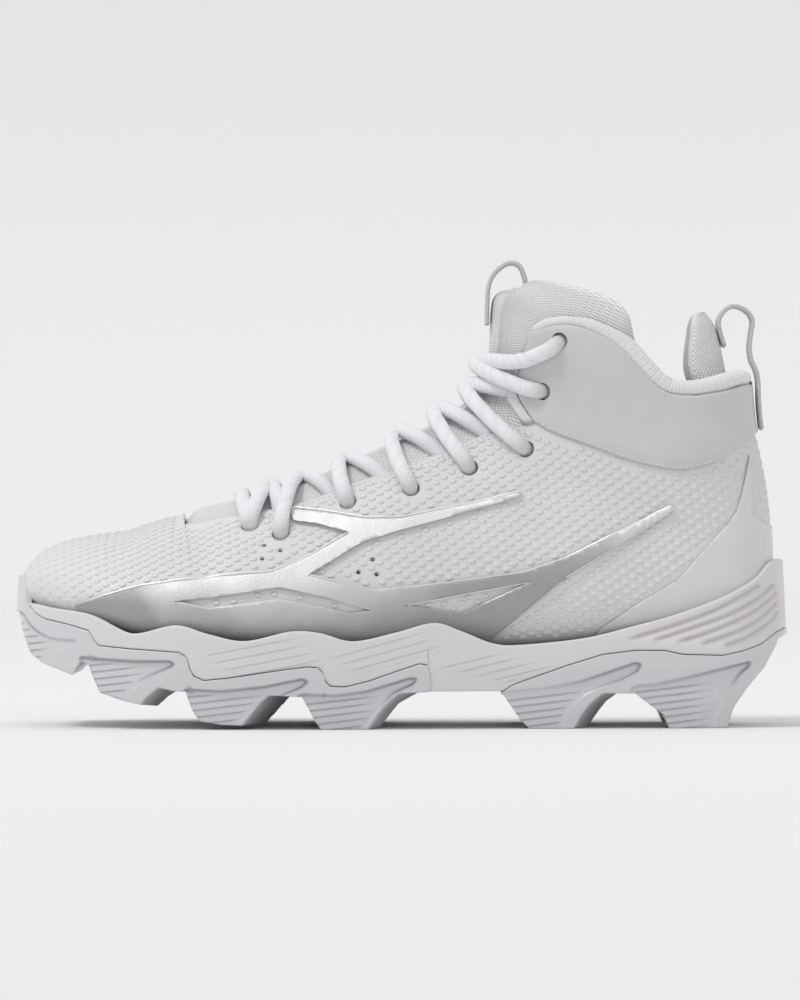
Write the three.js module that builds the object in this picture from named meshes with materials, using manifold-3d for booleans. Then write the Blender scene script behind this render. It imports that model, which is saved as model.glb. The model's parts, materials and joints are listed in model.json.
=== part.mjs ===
// High top football cleat, left foot, empty and standing on its studs.
// Millimetres. The toe points to -X, the outer side of the foot to -Y, up is +Z.
// Tables hold hundredths: x of LENGTH, z of COLLAR_HEIGHT, y of BALL_WIDTH.
import * as THREE from "three";
import { mergeVertices } from "three/addons/utils/BufferGeometryUtils.js";
import Module from "manifold-3d";

const wasm = await Module();
wasm.setup();

// Driving sizes
const LENGTH = 298;
const BALL_WIDTH = 104;
const COLLAR_HEIGHT = 156;

// Thicknesses and clearances
const GAP = 0.3;
const WALL = 2.2;
const FOIL = 0.7;
const FILM = 0.5;
const CUFF = 0.9;
const ROLL_OUT = 1.3;
const ROLL_IN = 5.5;
const TONGUE = 5.4;
const INSOLE = 4;
const PLATE_STEP = 0.5;
const ARROW_DEEP = 0.9;
const RIB_DEEP = 0.5;
const RIB_WIDE = 1;
const FLUTE_DEEP = 0.8;
const FLUTE_WIDE = 2.6;
const WEBBING = 1.8;
const LOOP_WIDTH = 13;
const LACE_WIDE = 5.4;
const LACE_HIGH = 4;
const EYELET_RADIUS = 2.5;
const FLANGE = 14;

// How finely the forms are divided, and how far facets of the sole that nearly agree are merged
const STEPS_ALONG = 22;
const STEPS_ROUND = 22;
const OUTLINE_STEPS = 20;
const FLATNESS = 0.04;

const along = (share) => (share * LENGTH) / 100;
const across = (share) => (share * BALL_WIDTH) / 100;
const above = (share) => (share * COLLAR_HEIGHT) / 100;

// A table of rows with named columns
function table(columns, rows) {
  return rows.map((row) => Object.fromEntries(columns.map((name, i) => [name, row[i]])));
}

// A smooth curve through the rows, read at a place counted in rows
function row_at(rows, place) {
  const last = rows.length - 1;
  const held = Math.min(Math.max(place, 0), last);
  const i = Math.min(Math.floor(held), last - 1);
  const t = held - i;
  const [a, b, c, d] = [i - 1, i, i + 1, i + 2].map((k) => rows[Math.min(Math.max(k, 0), last)]);
  const mixed = {};
  for (const name of Object.keys(b)) {
    const slope_b = (c[name] - a[name]) / 2;
    const slope_c = (d[name] - b[name]) / 2;
    mixed[name] =
      (2 * t ** 3 - 3 * t ** 2 + 1) * b[name] +
      (t ** 3 - 2 * t ** 2 + t) * slope_b +
      (3 * t ** 2 - 2 * t ** 3) * c[name] +
      (t ** 3 - t ** 2) * slope_c;
  }
  return mixed;
}

// The last: each row is one slanted section from the instep line to the sole and heel line.
// outer and inner are the half widths, ridge the sideways place of the instep line,
// wide how far down the section is widest, crown and base how square its ends are.
const SECTIONS = table(
  ["instep_x", "instep_z", "heel_x", "heel_z", "outer", "inner", "ridge", "wide", "crown", "base"],
  [
    [0.87, 36.9, 0.87, 31.4, 4, 19, 7.7, 0.5, 0.9, 0.8],
    [1.54, 39.4, 1.74, 29.5, 13.5, 25, 7.7, 0.55, 0.9, 0.75],
    [3.19, 42.8, 3.69, 28.1, 21, 30, 7.7, 0.62, 0.88, 0.7],
    [5.34, 44.9, 6.7, 26.6, 29, 35.3, 7.7, 0.68, 0.86, 0.65],
    [9.06, 46.8, 11.1, 24.2, 36.5, 40.2, 7.6, 0.7, 0.85, 0.6],
    [13.5, 48.1, 16.4, 22, 42.3, 43.5, 7.2, 0.72, 0.85, 0.55],
    [18.5, 50.8, 22.1, 21, 46.2, 44.6, 6.6, 0.73, 0.85, 0.52],
    [23.8, 53.6, 28.2, 19.9, 47.8, 44, 5.8, 0.73, 0.85, 0.5],
    [29.5, 56.3, 34.6, 18.9, 47.8, 41.8, 5, 0.72, 0.85, 0.5],
    [35.2, 59.1, 41.3, 18.3, 46, 38.6, 4.4, 0.71, 0.86, 0.52],
    [40.6, 63, 48.3, 17.9, 43, 35.8, 3.9, 0.7, 0.87, 0.55],
    [45.6, 67.5, 55.4, 17.9, 40.3, 34, 3.4, 0.68, 0.88, 0.57],
    [50.1, 72.1, 63.1, 18.5, 37.8, 33.4, 2.9, 0.68, 0.88, 0.57],
    [54, 76.5, 70.5, 19.2, 36.2, 33.4, 2.4, 0.69, 0.88, 0.58],
    [57, 80.1, 77.9, 20.6, 35.2, 33.6, 1.9, 0.7, 0.88, 0.6],
    [59.2, 84, 85.2, 21.3, 34.6, 33.6, 1.4, 0.7, 0.88, 0.62],
    [60.2, 88.8, 91.6, 22.8, 34, 33.4, 1, 0.68, 0.88, 0.64],
    [60.6, 93.9, 96, 26, 33.4, 33.2, 0.5, 0.65, 0.88, 0.68],
    [60.7, 98.7, 97.7, 31.7, 33, 33, 0, 0.62, 0.88, 0.72],
    [60.8, 102.6, 98, 39.5, 32.8, 32.8, 0, 0.58, 0.88, 0.76],
    [61, 105.8, 97.9, 48.1, 32.9, 32.9, 0, 0.55, 0.88, 0.8],
    [61.2, 108.7, 97.5, 57.5, 33.3, 33.3, 0, 0.52, 0.88, 0.82],
    [61.7, 111.5, 96.6, 66.7, 34, 34, 0, 0.51, 0.88, 0.82],
    [62.4, 114.4, 95.6, 75, 34.8, 34.8, 0, 0.5, 0.88, 0.82],
    [63.4, 117.3, 95.1, 83.3, 35.4, 35.4, 0, 0.5, 0.88, 0.82],
    [64.8, 120.5, 94.9, 92.3, 35.8, 35.8, 0, 0.5, 0.88, 0.82],
  ],
);
const LAST_SECTION = SECTIONS.length - 1;

// A point of the last: place counts sections from the toe, turn goes round one section
// from the instep line down the outer side and up the inner side.
function last_point(place, turn) {
  const row = row_at(SECTIONS, place);
  const sunk = (1 - Math.cos(turn)) / 2;
  const share = (row.wide * sunk) / (row.wide * sunk + (1 - row.wide) * (1 - sunk));
  const reach = Math.abs(Math.sin(turn)) ** (row.crown + (row.base - row.crown) * share);
  const edge = Math.sin(turn) > 0 ? -row.outer : row.inner;
  return new THREE.Vector3(
    along(row.instep_x + (row.heel_x - row.instep_x) * share),
    across(row.ridge + (edge - row.ridge) * reach),
    above(row.instep_z + (row.heel_z - row.instep_z) * share),
  );
}

// The outward direction of the last at one place
function last_normal(place, turn) {
  const step = 0.02;
  const ahead = last_point(Math.min(place + step, LAST_SECTION), turn);
  const behind = last_point(Math.max(place - step, 0), turn);
  const down = last_point(place, turn + step);
  const up = last_point(place, turn - step);
  return new THREE.Vector3().crossVectors(down.sub(up), ahead.sub(behind)).normalize();
}

function skin_point(place, turn, offset) {
  return last_point(place, turn).addScaledVector(last_normal(place, turn), offset);
}

// The place and turn at which the outer side of the last is seen at x and z
function find_on_last(x, z) {
  let low = 0;
  let high = LAST_SECTION;
  const aside = (place) => {
    const row = row_at(SECTIONS, place);
    const run = along(row.heel_x - row.instep_x);
    const rise = above(row.heel_z - row.instep_z);
    return run * (z - above(row.instep_z)) - rise * (x - along(row.instep_x));
  };
  for (let k = 0; k < 40; k++) {
    const middle = (low + high) / 2;
    if (aside(middle) > 0) low = middle;
    else high = middle;
  }
  const row = row_at(SECTIONS, low);
  const run = along(row.heel_x - row.instep_x);
  const rise = above(row.heel_z - row.instep_z);
  const way = (x - along(row.instep_x)) * run + (z - above(row.instep_z)) * rise;
  const share = Math.min(Math.max(way / (run * run + rise * rise), 0), 1);
  const sunk = (share * (1 - row.wide)) / (row.wide + share * (1 - 2 * row.wide));
  return { place: low, turn: 2 * Math.asin(Math.sqrt(sunk)) };
}

// A closed solid from vertices and triangles
function solid(vertices, triangles) {
  const made = new wasm.Manifold(
    new wasm.Mesh({
      numProp: 3,
      vertProperties: new Float32Array(vertices.flatMap((v) => [v.x, v.y, v.z])),
      triVerts: new Uint32Array(triangles.flat()),
    }),
  );
  return made.volume() > 0 ? made : solid(vertices, triangles.map(([a, b, c]) => [a, c, b]));
}

// A solid whose skin runs through rings of equally many points, closed by a point at each end
function loft(rings, first, last) {
  const count = rings[0].length;
  const vertices = [...rings.flat(), first, last];
  const start = rings.length * count;
  const triangles = [];
  for (let k = 0; k < count; k++) {
    const next = (k + 1) % count;
    triangles.push([start, next, k]);
    triangles.push([start + 1, start - count + k, start - count + next]);
    for (let i = 0; i < rings.length - 1; i++) {
      const here = i * count;
      triangles.push([here + k, here + next, here + count + k]);
      triangles.push([here + next, here + count + next, here + count + k]);
    }
  }
  return solid(vertices, triangles);
}

const middle_of = (points) =>
  points.reduce((sum, p) => sum.add(p), new THREE.Vector3()).divideScalar(points.length);

// The last grown or shrunk by an offset, between two steps along the foot
const forms = new Map();
function last_form(offset, first_step = 0) {
  const key = offset + " " + first_step;
  if (!forms.has(key)) {
    const rings = [];
    for (let i = first_step; i <= STEPS_ALONG; i++) {
      const place = (i / STEPS_ALONG) * LAST_SECTION;
      const ring = [];
      for (let k = 0; k < STEPS_ROUND; k++)
        ring.push(skin_point(place, (k / STEPS_ROUND) * 2 * Math.PI, offset));
      rings.push(ring);
    }
    const nose = middle_of(rings[0]);
    if (first_step === 0) nose.x = along(0.8) - offset;
    forms.set(key, loft(rings, nose, middle_of(rings.at(-1))));
  }
  return forms.get(key);
}

// A sheet between two offsets of the last
const sheet = (outside, inside, first_step = 0) =>
  last_form(outside, first_step).subtract(last_form(inside, first_step));

// A solid from a three.js geometry
function from_geometry(geometry) {
  const bare = new THREE.BufferGeometry();
  const loose = geometry.index ? geometry.toNonIndexed() : geometry;
  bare.setAttribute("position", loose.getAttribute("position"));
  const merged = mergeVertices(bare, 1e-4);
  return new wasm.Manifold(
    new wasm.Mesh({
      numProp: 3,
      vertProperties: merged.getAttribute("position").array,
      triVerts: new Uint32Array(merged.index.array),
    }),
  );
}

// Side outlines are lists of [x, z] in hundredths; this runs one across the shoe in y
const to_mm = (points) => points.map(([x, z]) => new THREE.Vector2(along(x), above(z)));
function across_shoe(outline, from_y = -90, to_y = 90, holes = []) {
  const shape = new THREE.Shape(outline);
  const clockwise = THREE.ShapeUtils.isClockWise(outline);
  for (const hole of holes) {
    const same = THREE.ShapeUtils.isClockWise(hole) === clockwise;
    shape.holes.push(new THREE.Path(same ? [...hole].reverse() : hole));
  }
  const geometry = new THREE.ExtrudeGeometry(shape, { depth: to_y - from_y, bevelEnabled: false });
  geometry.rotateX(Math.PI / 2);
  geometry.translate(0, to_y, 0);
  return from_geometry(geometry);
}

// A smooth line through [x, z] rows
function smooth(points, per_span = 3) {
  const curve = new THREE.SplineCurve(to_mm(points));
  return curve.getPoints((points.length - 1) * per_span);
}

const shifted = (points, dx, dz) => points.map((p) => new THREE.Vector2(p.x + dx, p.y + dz));
const corner = (x, z) => new THREE.Vector2(along(x), above(z));

// Lines seen from the side, from toe to heel
const RIM_LINE = [
  [1.7, 30.5], [3.5, 30], [5.4, 29.3], [9.3, 28.3], [11.5, 26.9], [14.8, 23.8], [16.8, 23.5],
  [21.4, 25.4], [25.5, 23.3], [30.2, 21.6], [36, 23.9], [39.8, 23.5], [44, 21.5], [49.4, 23.6],
  [54.2, 25.9], [57.5, 24.1], [61.6, 21], [65, 20.5], [73.3, 22.1], [79.8, 25.1], [84.9, 27.7],
  [90.3, 31.3], [93.4, 33.9], [96.1, 36.9], [98.2, 40.6], [101, 41.2],
];
const FORE_PART_LINE = [
  [1.3, 29.9], [2.8, 28.1], [4.1, 26.7], [7.5, 25.3], [10.1, 23.9], [10.9, 21.5], [11.4, 20.3], [15.3, 19.6],
  [21.8, 18.8], [22.8, 17.6], [23.1, 15.1], [23.6, 13.1], [24.9, 12], [28.2, 12.6], [35.1, 14.6],
  [38.2, 15.3], [39.5, 15.1], [40.2, 13.7], [40.4, 11.8], [41.1, 10.6], [43, 10.4], [46, 11.8],
  [49.4, 14.1], [52.4, 16], [53.4, 15.6], [53.7, 13.7], [53.7, 9.2],
];
const HEEL_PART_LINE = [
  [62.9, 9], [64.5, 10.9], [71.3, 15.5], [75.7, 18.1], [79.9, 19.1], [83.6, 19.1], [86, 18.1], [91.2, 17.8],
  [93.9, 18.8], [96.3, 20.4], [98.4, 23.3], [101, 25],
];
const THROAT_LINE = [
  [21.6, 53.6], [21.9, 50.2], [24.2, 50.4], [26.8, 51.6], [31.4, 53.1], [35, 53.9], [41.5, 58.2],
  [45.9, 61.2], [51.4, 64.6], [56.7, 68.7], [61.5, 72.8], [65.9, 74.1], [64.4, 78.4], [63.6, 81.5],
  [63.8, 84], [64.7, 88.9], [66.4, 94.6],
];
const COLLAR_TOP_LINE = [
  [67.4, 97.9], [68.6, 99.7], [69.9, 100.2], [71.9, 100.2], [74.4, 99.4], [77.1, 97.2], [79.1, 94.9],
  [80.8, 91.2], [82.5, 87.6], [84, 85.1], [85.4, 84.6], [87.8, 84.7], [89.8, 85.5], [93.3, 87.2],
  [95.2, 87.1],
];
const COLLAR_LOW_LINE = [
  [66.9, 97.3], [69.2, 98.6], [71.2, 99], [73.2, 98.3], [75.7, 96.3], [77.8, 93.8], [79.7, 90.1],
  [81.5, 86.1], [82.9, 83.5], [84.3, 82.1], [85.7, 81.6], [87.8, 81.5], [89.8, 82.1], [91.9, 82.9],
  [94, 84.2], [96, 84.6],
];
const CUFF_LOW_LINE = [
  [67.2, 74.6], [69.9, 71.7], [75.4, 67.9], [78.5, 65.6], [82.3, 63.7], [85.3, 62.9], [87.2, 63.2],
  [89.6, 64.4], [91.8, 66.7], [93.7, 69.6], [96, 72.7],
];
const CUFF_FRONT_LINE = [
  [66.9, 96.2], [66, 91.5], [65.3, 87.4], [64.9, 83.4], [65.2, 80.9], [66, 78.2], [67.2, 74.6],
];

// Sole outline seen from above, by the turn from the toe (0) to the heel (180)
const SOLE_OUTLINE = table(
  ["outer", "inner"],
  [
    [-7.7, 7.7], [16.8, 27.4], [32.2, 38], [44.2, 46], [51, 48], [51.4, 45], [46.9, 39.2], [41.6, 36.2],
    [39.4, 36.7], [37, 36.1], [31.3, 30.8], [18.3, 18.1], [0, 0],
  ],
);

// Height, as hundredths, and how far the side wall of the sole stands out there in millimetres
const SOLE_WALL = table(["level", "out"], [[-4, -4], [8, -2], [15, -0.4], [22, 0], [30, -0.4], [44, -1.6]]);

// The point of the sole outline at a turn, moved out square to the outline
function sole_point(turn, side, out) {
  const at = (angle) => {
    const place = (Math.min(Math.max(angle, 0), 180) / 180) * (SOLE_OUTLINE.length - 1);
    const row = row_at(SOLE_OUTLINE, place);
    const y = side < 0 ? -row.outer : row.inner;
    return new THREE.Vector2(along(50 * (1 - Math.cos((angle * Math.PI) / 180))), across(y));
  };
  const run = at(turn + 1).sub(at(turn - 1));
  const point = at(turn);
  const outward = side < 0 ? new THREE.Vector2(run.y, -run.x) : new THREE.Vector2(-run.y, run.x);
  if (turn === 0) outward.set(-1, 0);
  if (turn === 180) outward.set(1, 0);
  return point.addScaledVector(outward.normalize(), out);
}

// The sole block between its walls, grown by an extra offset
function sole_block(extra) {
  const rings = SOLE_WALL.map((row) => {
    const ring = [];
    for (const side of [-1, 1])
      for (let k = 0; k < OUTLINE_STEPS; k++) {
        const turn = ((side < 0 ? k : OUTLINE_STEPS - k) / OUTLINE_STEPS) * 180;
        const p = sole_point(turn, side, row.out + extra);
        ring.push(new THREE.Vector3(p.x, p.y, above(row.level)));
      }
    return ring;
  });
  return loft(rings, middle_of(rings[0]), middle_of(rings.at(-1)));
}

// Plates of the outsole: the underside between the studs
const FORE_UNDERSIDE = [
  [53.7, 8.7], [45, 8.2], [37, 8], [21, 9.4], [15, 12], [9.8, 15.8], [5, 18.8], [1.9, 20],
];
const HEEL_UNDERSIDE = [
  [101, 23.5], [98.5, 21.8], [98.1, 20], [96.3, 14.5], [94, 10.6], [91, 9.2], [80, 8.6], [63.4, 8.6],
];

// Studs of one row, seen from the side; scoop is the hollow behind the outer edge
const STUDS = [
  {
    name: "toe",
    profile: [
      [1.3, 23], [2.1, 19], [2.4, 18], [4.1, 15.7], [8, 13], [8.9, 14.7], [9.9, 16.2], [10.2, 20], [6, 23],
    ],
    scoop: [[6.6, 12], [8, 16], [9.6, 18.6], [12, 18.6], [12, 12]],
    inside: 8,
  },
  {
    name: "front",
    profile: [
      [10, 18], [10.2, 15.1], [10.7, 12.5], [11.6, 8.8], [14.6, 6.9], [18.7, 5.2], [19.8, 7.2], [21.1, 8.8],
      [22.5, 10.6], [22.5, 15], [14, 16],
    ],
    scoop: [[16, 4], [17.4, 7.5], [20, 11], [23, 12.4], [25, 12.4], [25, 4]],
    inside: 18,
  },
  {
    name: "ball_front",
    profile: [
      [22.3, 12], [22.7, 8.8], [23.5, 4.7], [24.4, 2.1], [27.2, 1.2], [32.9, 0.8], [35.1, 5.3], [37.1, 7.4],
      [38, 10.5], [30, 13],
    ],
    scoop: [[29, -2], [31.4, 4], [34, 9], [38, 11.5], [41, 11.5], [41, -2]],
    inside: 20,
  },
  {
    name: "ball",
    profile: [
      [36.6, 11], [38.2, 5.3], [39.2, 1.7], [39.9, 0], [47.2, 0], [49.7, 6], [52.4, 8.6], [53.7, 9.1],
      [53.7, 10.5], [50, 13],
    ],
    scoop: [[45.2, -2], [47.4, 4.5], [50, 9], [53, 11], [57, 11], [57, -2]],
    inside: 20,
  },
];
const HEEL_STUDS = [
  {
    name: "heel_front",
    profile: [
      [62.9, 10], [62.9, 8.8], [65.3, 2], [66.4, 0], [74, 0], [76.5, 6.3], [78.2, 8.3], [79.4, 9.4], [78, 13],
      [70, 13],
    ],
    scoop: [[70.7, -2], [72.6, 4.5], [75.6, 9.5], [78.6, 11.5], [83, 11.5], [83, -2]],
    inside: 15,
  },
  {
    name: "heel_back",
    profile: [
      [79.2, 10.4], [79.2, 9.3], [83.6, 3.2], [84.3, 0], [91.8, 0], [92.6, 5], [94.6, 10.3], [96.7, 14.8],
      [94, 18], [86, 14],
    ],
    scoop: [[90.3, -2], [91.4, 5], [93.6, 11], [96.4, 17], [101, 17], [101, -2]],
    inside: 13,
  },
];
const STUD_SLOPE = 0.3;
const SCOOP_SHEAR = 0.28;

// One stud: its side profile, sloped on its inner face and hollowed behind its outer edge
function stud(row, side) {
  const inside = across(row.inside);
  const reach = across(60);
  const body = across_shoe(to_mm(row.profile), -reach, 0);
  const slope = new THREE.ExtrudeGeometry(
    new THREE.Shape([
      new THREE.Vector2(-reach, -5),
      new THREE.Vector2(-inside - 5 * STUD_SLOPE, -5),
      new THREE.Vector2(-inside + 40 * STUD_SLOPE, 40),
      new THREE.Vector2(-reach, 40),
    ]),
    { depth: LENGTH + 20, bevelEnabled: false },
  );
  slope.rotateY(Math.PI / 2);
  slope.rotateX(Math.PI / 2);
  slope.translate(-10, 0, 0);
  const scoop = new THREE.ExtrudeGeometry(new THREE.Shape(to_mm(row.scoop)), {
    depth: reach,
    bevelEnabled: false,
  });
  scoop.rotateX(Math.PI / 2);
  scoop.applyMatrix4(new THREE.Matrix4().makeShear(0, 0, SCOOP_SHEAR, 0, 0, 0));
  scoop.translate(SCOOP_SHEAR * across(46), 0, 0);
  const made = body.intersect(from_geometry(slope)).subtract(from_geometry(scoop));
  return side < 0 ? made : made.mirror([0, 1, 0]);
}

// Arrows that step into the side of the studs, the ribs on them, and the flutes of the heel
const FORE_ARROWS = [
  [
    [1.2, 28.1], [2, 25.8], [3.2, 23.8], [4.8, 22.2], [8.2, 21.7], [8.6, 21], [8.1, 20.3], [5.2, 18.8],
    [4.2, 16.1], [4, 8], [1.2, 8],
  ],
  [
    [9, 17.7], [11.5, 17.2], [16.1, 16.7], [20.6, 16.8], [21.2, 16.2], [21.1, 15.4], [17.8, 12.7],
    [16.4, 11], [14.6, 7.3], [13.6, 3], [9, 3],
  ],
  [
    [22, 9.9], [27.3, 9.5], [32.4, 10.5], [37.5, 12.5], [38.3, 11.8], [37.5, 10.2], [35.1, 8.2], [32.2, 6.4],
    [29, 1], [28, -3], [22, -3],
  ],
  [
    [36.8, 8.8], [41.8, 8.4], [45.7, 9.4], [51.3, 12.7], [52.1, 12.4], [51.7, 10.9], [49.1, 8.7],
    [47.5, 5.4], [45.4, 0], [44.6, -3], [36.8, -3],
  ],
];
const HEEL_ARROWS = [
  [
    [61, 8.9], [64.7, 9.4], [68.3, 10], [73, 11.9], [79.9, 16.2], [80.7, 15.9], [80.3, 13.9], [78.6, 12],
    [73.4, 8.2], [71.5, 4.7], [70, -3], [61, -3],
  ],
  [
    [79, 10.2], [82.7, 10.9], [87.4, 12.9], [94.2, 16.1], [94.8, 15], [93.6, 13.4], [91.7, 8.2], [90.5, 2.5],
    [90, -3], [79, -3],
  ],
];
const FORE_RIBS = [
  [[10.5, 14.6], [17.4, 14.6]], [[11.3, 11.5], [15.3, 11.4]], [[23.1, 7.4], [29.8, 8.3]],
  [[23.9, 4.3], [27.9, 4.9]], [[38.4, 6.2], [47.3, 7.8]], [[39.5, 3], [45.7, 4.2]],
];
const HEEL_RIBS = [
  [[64.7, 6.4], [69.6, 8.2]], [[66, 3.3], [69, 4]], [[82, 8.9], [92.1, 11.8]], [[83.5, 5], [90.6, 7.5]],
];
const FLUTES = [
  [[78.5, 21.8], [87, 26.8], [91.1, 30], [95.8, 34.7]], [[81.7, 21.4], [91.7, 27.8], [97.9, 34.9]],
  [[84.9, 21.1], [93.6, 27], [98.3, 32.9]], [[88, 20.7], [94.7, 25.3], [98.4, 30.7]],
  [[91.1, 20.2], [95.8, 23.9], [98.5, 28.2]],
];

// A line seen from the side, drawn as a band of some thickness
function band(points, thickness) {
  const line = to_mm(points);
  const edge = (half) =>
    line.map((p, i) => {
      const a = line[Math.max(i - 1, 0)];
      const b = line[Math.min(i + 1, line.length - 1)];
      const run = b.clone().sub(a).normalize();
      return new THREE.Vector2(p.x - run.y * half, p.y + run.x * half);
    });
  return [...edge(thickness / 2), ...edge(-thickness / 2).reverse()];
}

// A flat strap in the middle of the shoe, seen from the side as a band
const strap = (points, thickness, width) => across_shoe(band(points, thickness), -width / 2, width / 2);

// Outlines sunk into the side of a sole piece to a depth behind the block of its wall
function sunk(piece, outlines, wall, depth) {
  const core = sole_block(wall - depth);
  return outlines
    .reduce((made, outline) => made.subtract(across_shoe(outline).subtract(core)), piece)
    .simplify(FLATNESS);
}
const ribbed = (piece, arrows, ribs) => {
  const stepped = sunk(piece, arrows.map(to_mm), PLATE_STEP, ARROW_DEEP);
  const bands = ribs.map((rib) => band(rib, RIB_WIDE));
  return sunk(stepped, bands, PLATE_STEP - ARROW_DEEP, RIB_DEEP);
};

// Upper: shell of the last, cut at collar and throat, opened underneath, with its eyelets
const throat = smooth(THROAT_LINE, 1);
const collar_low = smooth(COLLAR_LOW_LINE, 1);
const collar_cut = across_shoe([
  corner(20, 140), corner(21, 58), ...throat, ...collar_low, corner(110, 84.6), corner(110, 140),
]);
const bed_line = SECTIONS.slice(1, 18).map((row) => corner(row.heel_x, row.heel_z));
const floor_cut = across_shoe([
  ...shifted(bed_line, 0, WALL + 1), corner(110, 5), corner(-5, 5),
]).intersect(sole_block(-FLANGE));

const EYELETS = table(
  ["x", "z"],
  [
    [30.6, 49.7], [34.6, 47.7], [43.2, 55.1], [51.3, 58.5], [58.8, 63.8], [66, 68.3], [68.3, 82.4],
    [70.5, 94.8],
  ],
);
const eyelets = EYELETS.map((row) => find_on_last(along(row.x), above(row.z)));

// The hole of one eyelet, square to the last
function eyelet_hole(eyelet, side) {
  const centre = skin_point(eyelet.place, eyelet.turn * side, 0);
  const normal = last_normal(eyelet.place, eyelet.turn * side);
  const geometry = new THREE.CylinderGeometry(EYELET_RADIUS, EYELET_RADIUS, 14, 6);
  geometry.applyQuaternion(new THREE.Quaternion().setFromUnitVectors(new THREE.Vector3(0, 1, 0), normal));
  geometry.translate(centre.x, centre.y, centre.z);
  return from_geometry(geometry);
}
const holes = [1, -1].flatMap((side) => eyelets.map((eyelet) => eyelet_hole(eyelet, side)));

const upper = holes.reduce(
  (made, hole) => made.subtract(hole),
  sheet(0, -WALL).subtract(collar_cut).subtract(floor_cut),
);

// Midsole: the block between its waved rim and the outsole plates, hollowed for the upper
const rim = smooth(RIM_LINE, 2);
const fore_part = to_mm(FORE_PART_LINE);
const heel_part = to_mm(HEEL_PART_LINE);
const last_room = last_form(GAP);
const plain_midsole = across_shoe([
  ...rim, ...shifted(heel_part, 0, GAP / 2).reverse(), ...shifted(fore_part, GAP, GAP / 2).reverse(),
])
  .intersect(sole_block(0))
  .subtract(last_room);
const midsole = sunk(plain_midsole, FLUTES.map((line) => band(line, FLUTE_WIDE)), 0, FLUTE_DEEP);

// Outsole plates with their studs
const bumper = [corner(2.1, 37.2), corner(1.3, 36), corner(0.8, 34.2), corner(1, 32.8), corner(1.2, 30.4)];
const fore_top = [corner(-3, 38.5), ...bumper, ...shifted(fore_part, 0, -GAP / 2)];
const fore_plate = across_shoe([corner(-3, 20), ...fore_top, ...to_mm(FORE_UNDERSIDE)]);
const fore_room = across_shoe([corner(-3, -5), ...fore_top, corner(53.7, -5)]);
const fore_walls = sole_block(PLATE_STEP).add(last_form(WALL));
const fore_studs = [-1, 1].flatMap((side) => STUDS.map((row) => stud(row, side)));
const plain_forefoot = fore_studs
  .reduce((made, piece) => made.add(piece), fore_plate)
  .intersect(fore_room)
  .intersect(fore_walls)
  .subtract(last_room);
const outsole_forefoot = ribbed(plain_forefoot, FORE_ARROWS, FORE_RIBS);
const heel_top = shifted(heel_part, 0, -GAP / 2);
const heel_plate = across_shoe([...heel_top, ...to_mm(HEEL_UNDERSIDE)]);
const heel_room = across_shoe([...heel_top, corner(101, -5), corner(62.9, -5)]);
const heel_studs = [-1, 1].flatMap((side) => HEEL_STUDS.map((row) => stud(row, side)));
const plain_heel = heel_studs
  .reduce((made, piece) => made.add(piece), heel_plate)
  .intersect(heel_room)
  .intersect(sole_block(PLATE_STEP))
  .subtract(last_room);
const outsole_heel = ribbed(plain_heel, HEEL_ARROWS, HEEL_RIBS);

// Insole: a slab lying on the flange of the upper
const insole = last_form(-WALL - GAP, 2).intersect(
  across_shoe([
    ...shifted(bed_line, 0, WALL + GAP),
    ...shifted(bed_line, 0, WALL + GAP + INSOLE).reverse(),
  ]),
);

// Tongue: a padded sheet under the throat that wraps the ankle above the collar
const TONGUE_OUTLINE = [
  [19, 75], [19, 47], [22.5, 44], [31, 47], [42, 52.5], [52, 58.5], [61.5, 66], [68, 69], [74.5, 76],
  [79, 85], [79.9, 94.6], [79.7, 96.9], [79.2, 100.4], [78, 103.5], [76, 105.6], [73.4, 107.4], [69.4, 109.4],
  [66.5, 110.9], [64.2, 110.7], [62.8, 109.1], [62.1, 107.4], [61.8, 104.2], [50, 104.2],
];
const tongue = sheet(-WALL - GAP, -WALL - GAP - TONGUE, 5).intersect(across_shoe(to_mm(TONGUE_OUTLINE)));

// Ankle cuff: a padded panel on the upper from the throat round the heel
const cuff_front = smooth(CUFF_FRONT_LINE, 1);
const cuff_low = smooth(CUFF_LOW_LINE, 1);
const cuff_room = across_shoe([
  ...cuff_front, ...cuff_low.slice(1), corner(105, 72.7), corner(105, 84.2),
  ...shifted(collar_low, 0, -GAP).reverse(),
]);
const ankle_cuff = holes
  .filter((_, i) => i % eyelets.length >= 6)
  .reduce((made, hole) => made.subtract(hole), sheet(GAP + CUFF, GAP).intersect(cuff_room));

// Collar binding: a knit roll on the rim of the collar, thin where the tongue lies inside it
const THIN_UNTIL = 81;
const collar_room = across_shoe([
  ...shifted(collar_low, 0, GAP), corner(105, 84.8), corner(105, 87), ...smooth(COLLAR_TOP_LINE, 1).reverse(),
]);
const tongue_side = across_shoe([
  corner(50, 70), corner(THIN_UNTIL, 70), corner(THIN_UNTIL, 110), corner(50, 110),
]);
const collar_binding = sheet(ROLL_OUT, -ROLL_IN, 12)
  .intersect(collar_room)
  .subtract(last_form(-WALL).intersect(tongue_side));

// Throat tapes: narrow mesh tapes in front of the cuff, one on each side
const tape_room = [...throat.slice(-6), ...shifted(cuff_front.slice(0, 6), -GAP, 0)];
const tape = (from_y, to_y) => sheet(GAP + FILM, GAP).intersect(across_shoe(tape_room, from_y, to_y));
const throat_tape_lateral = tape(-90, 0);
const throat_tape_medial = tape(0, 90);

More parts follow.
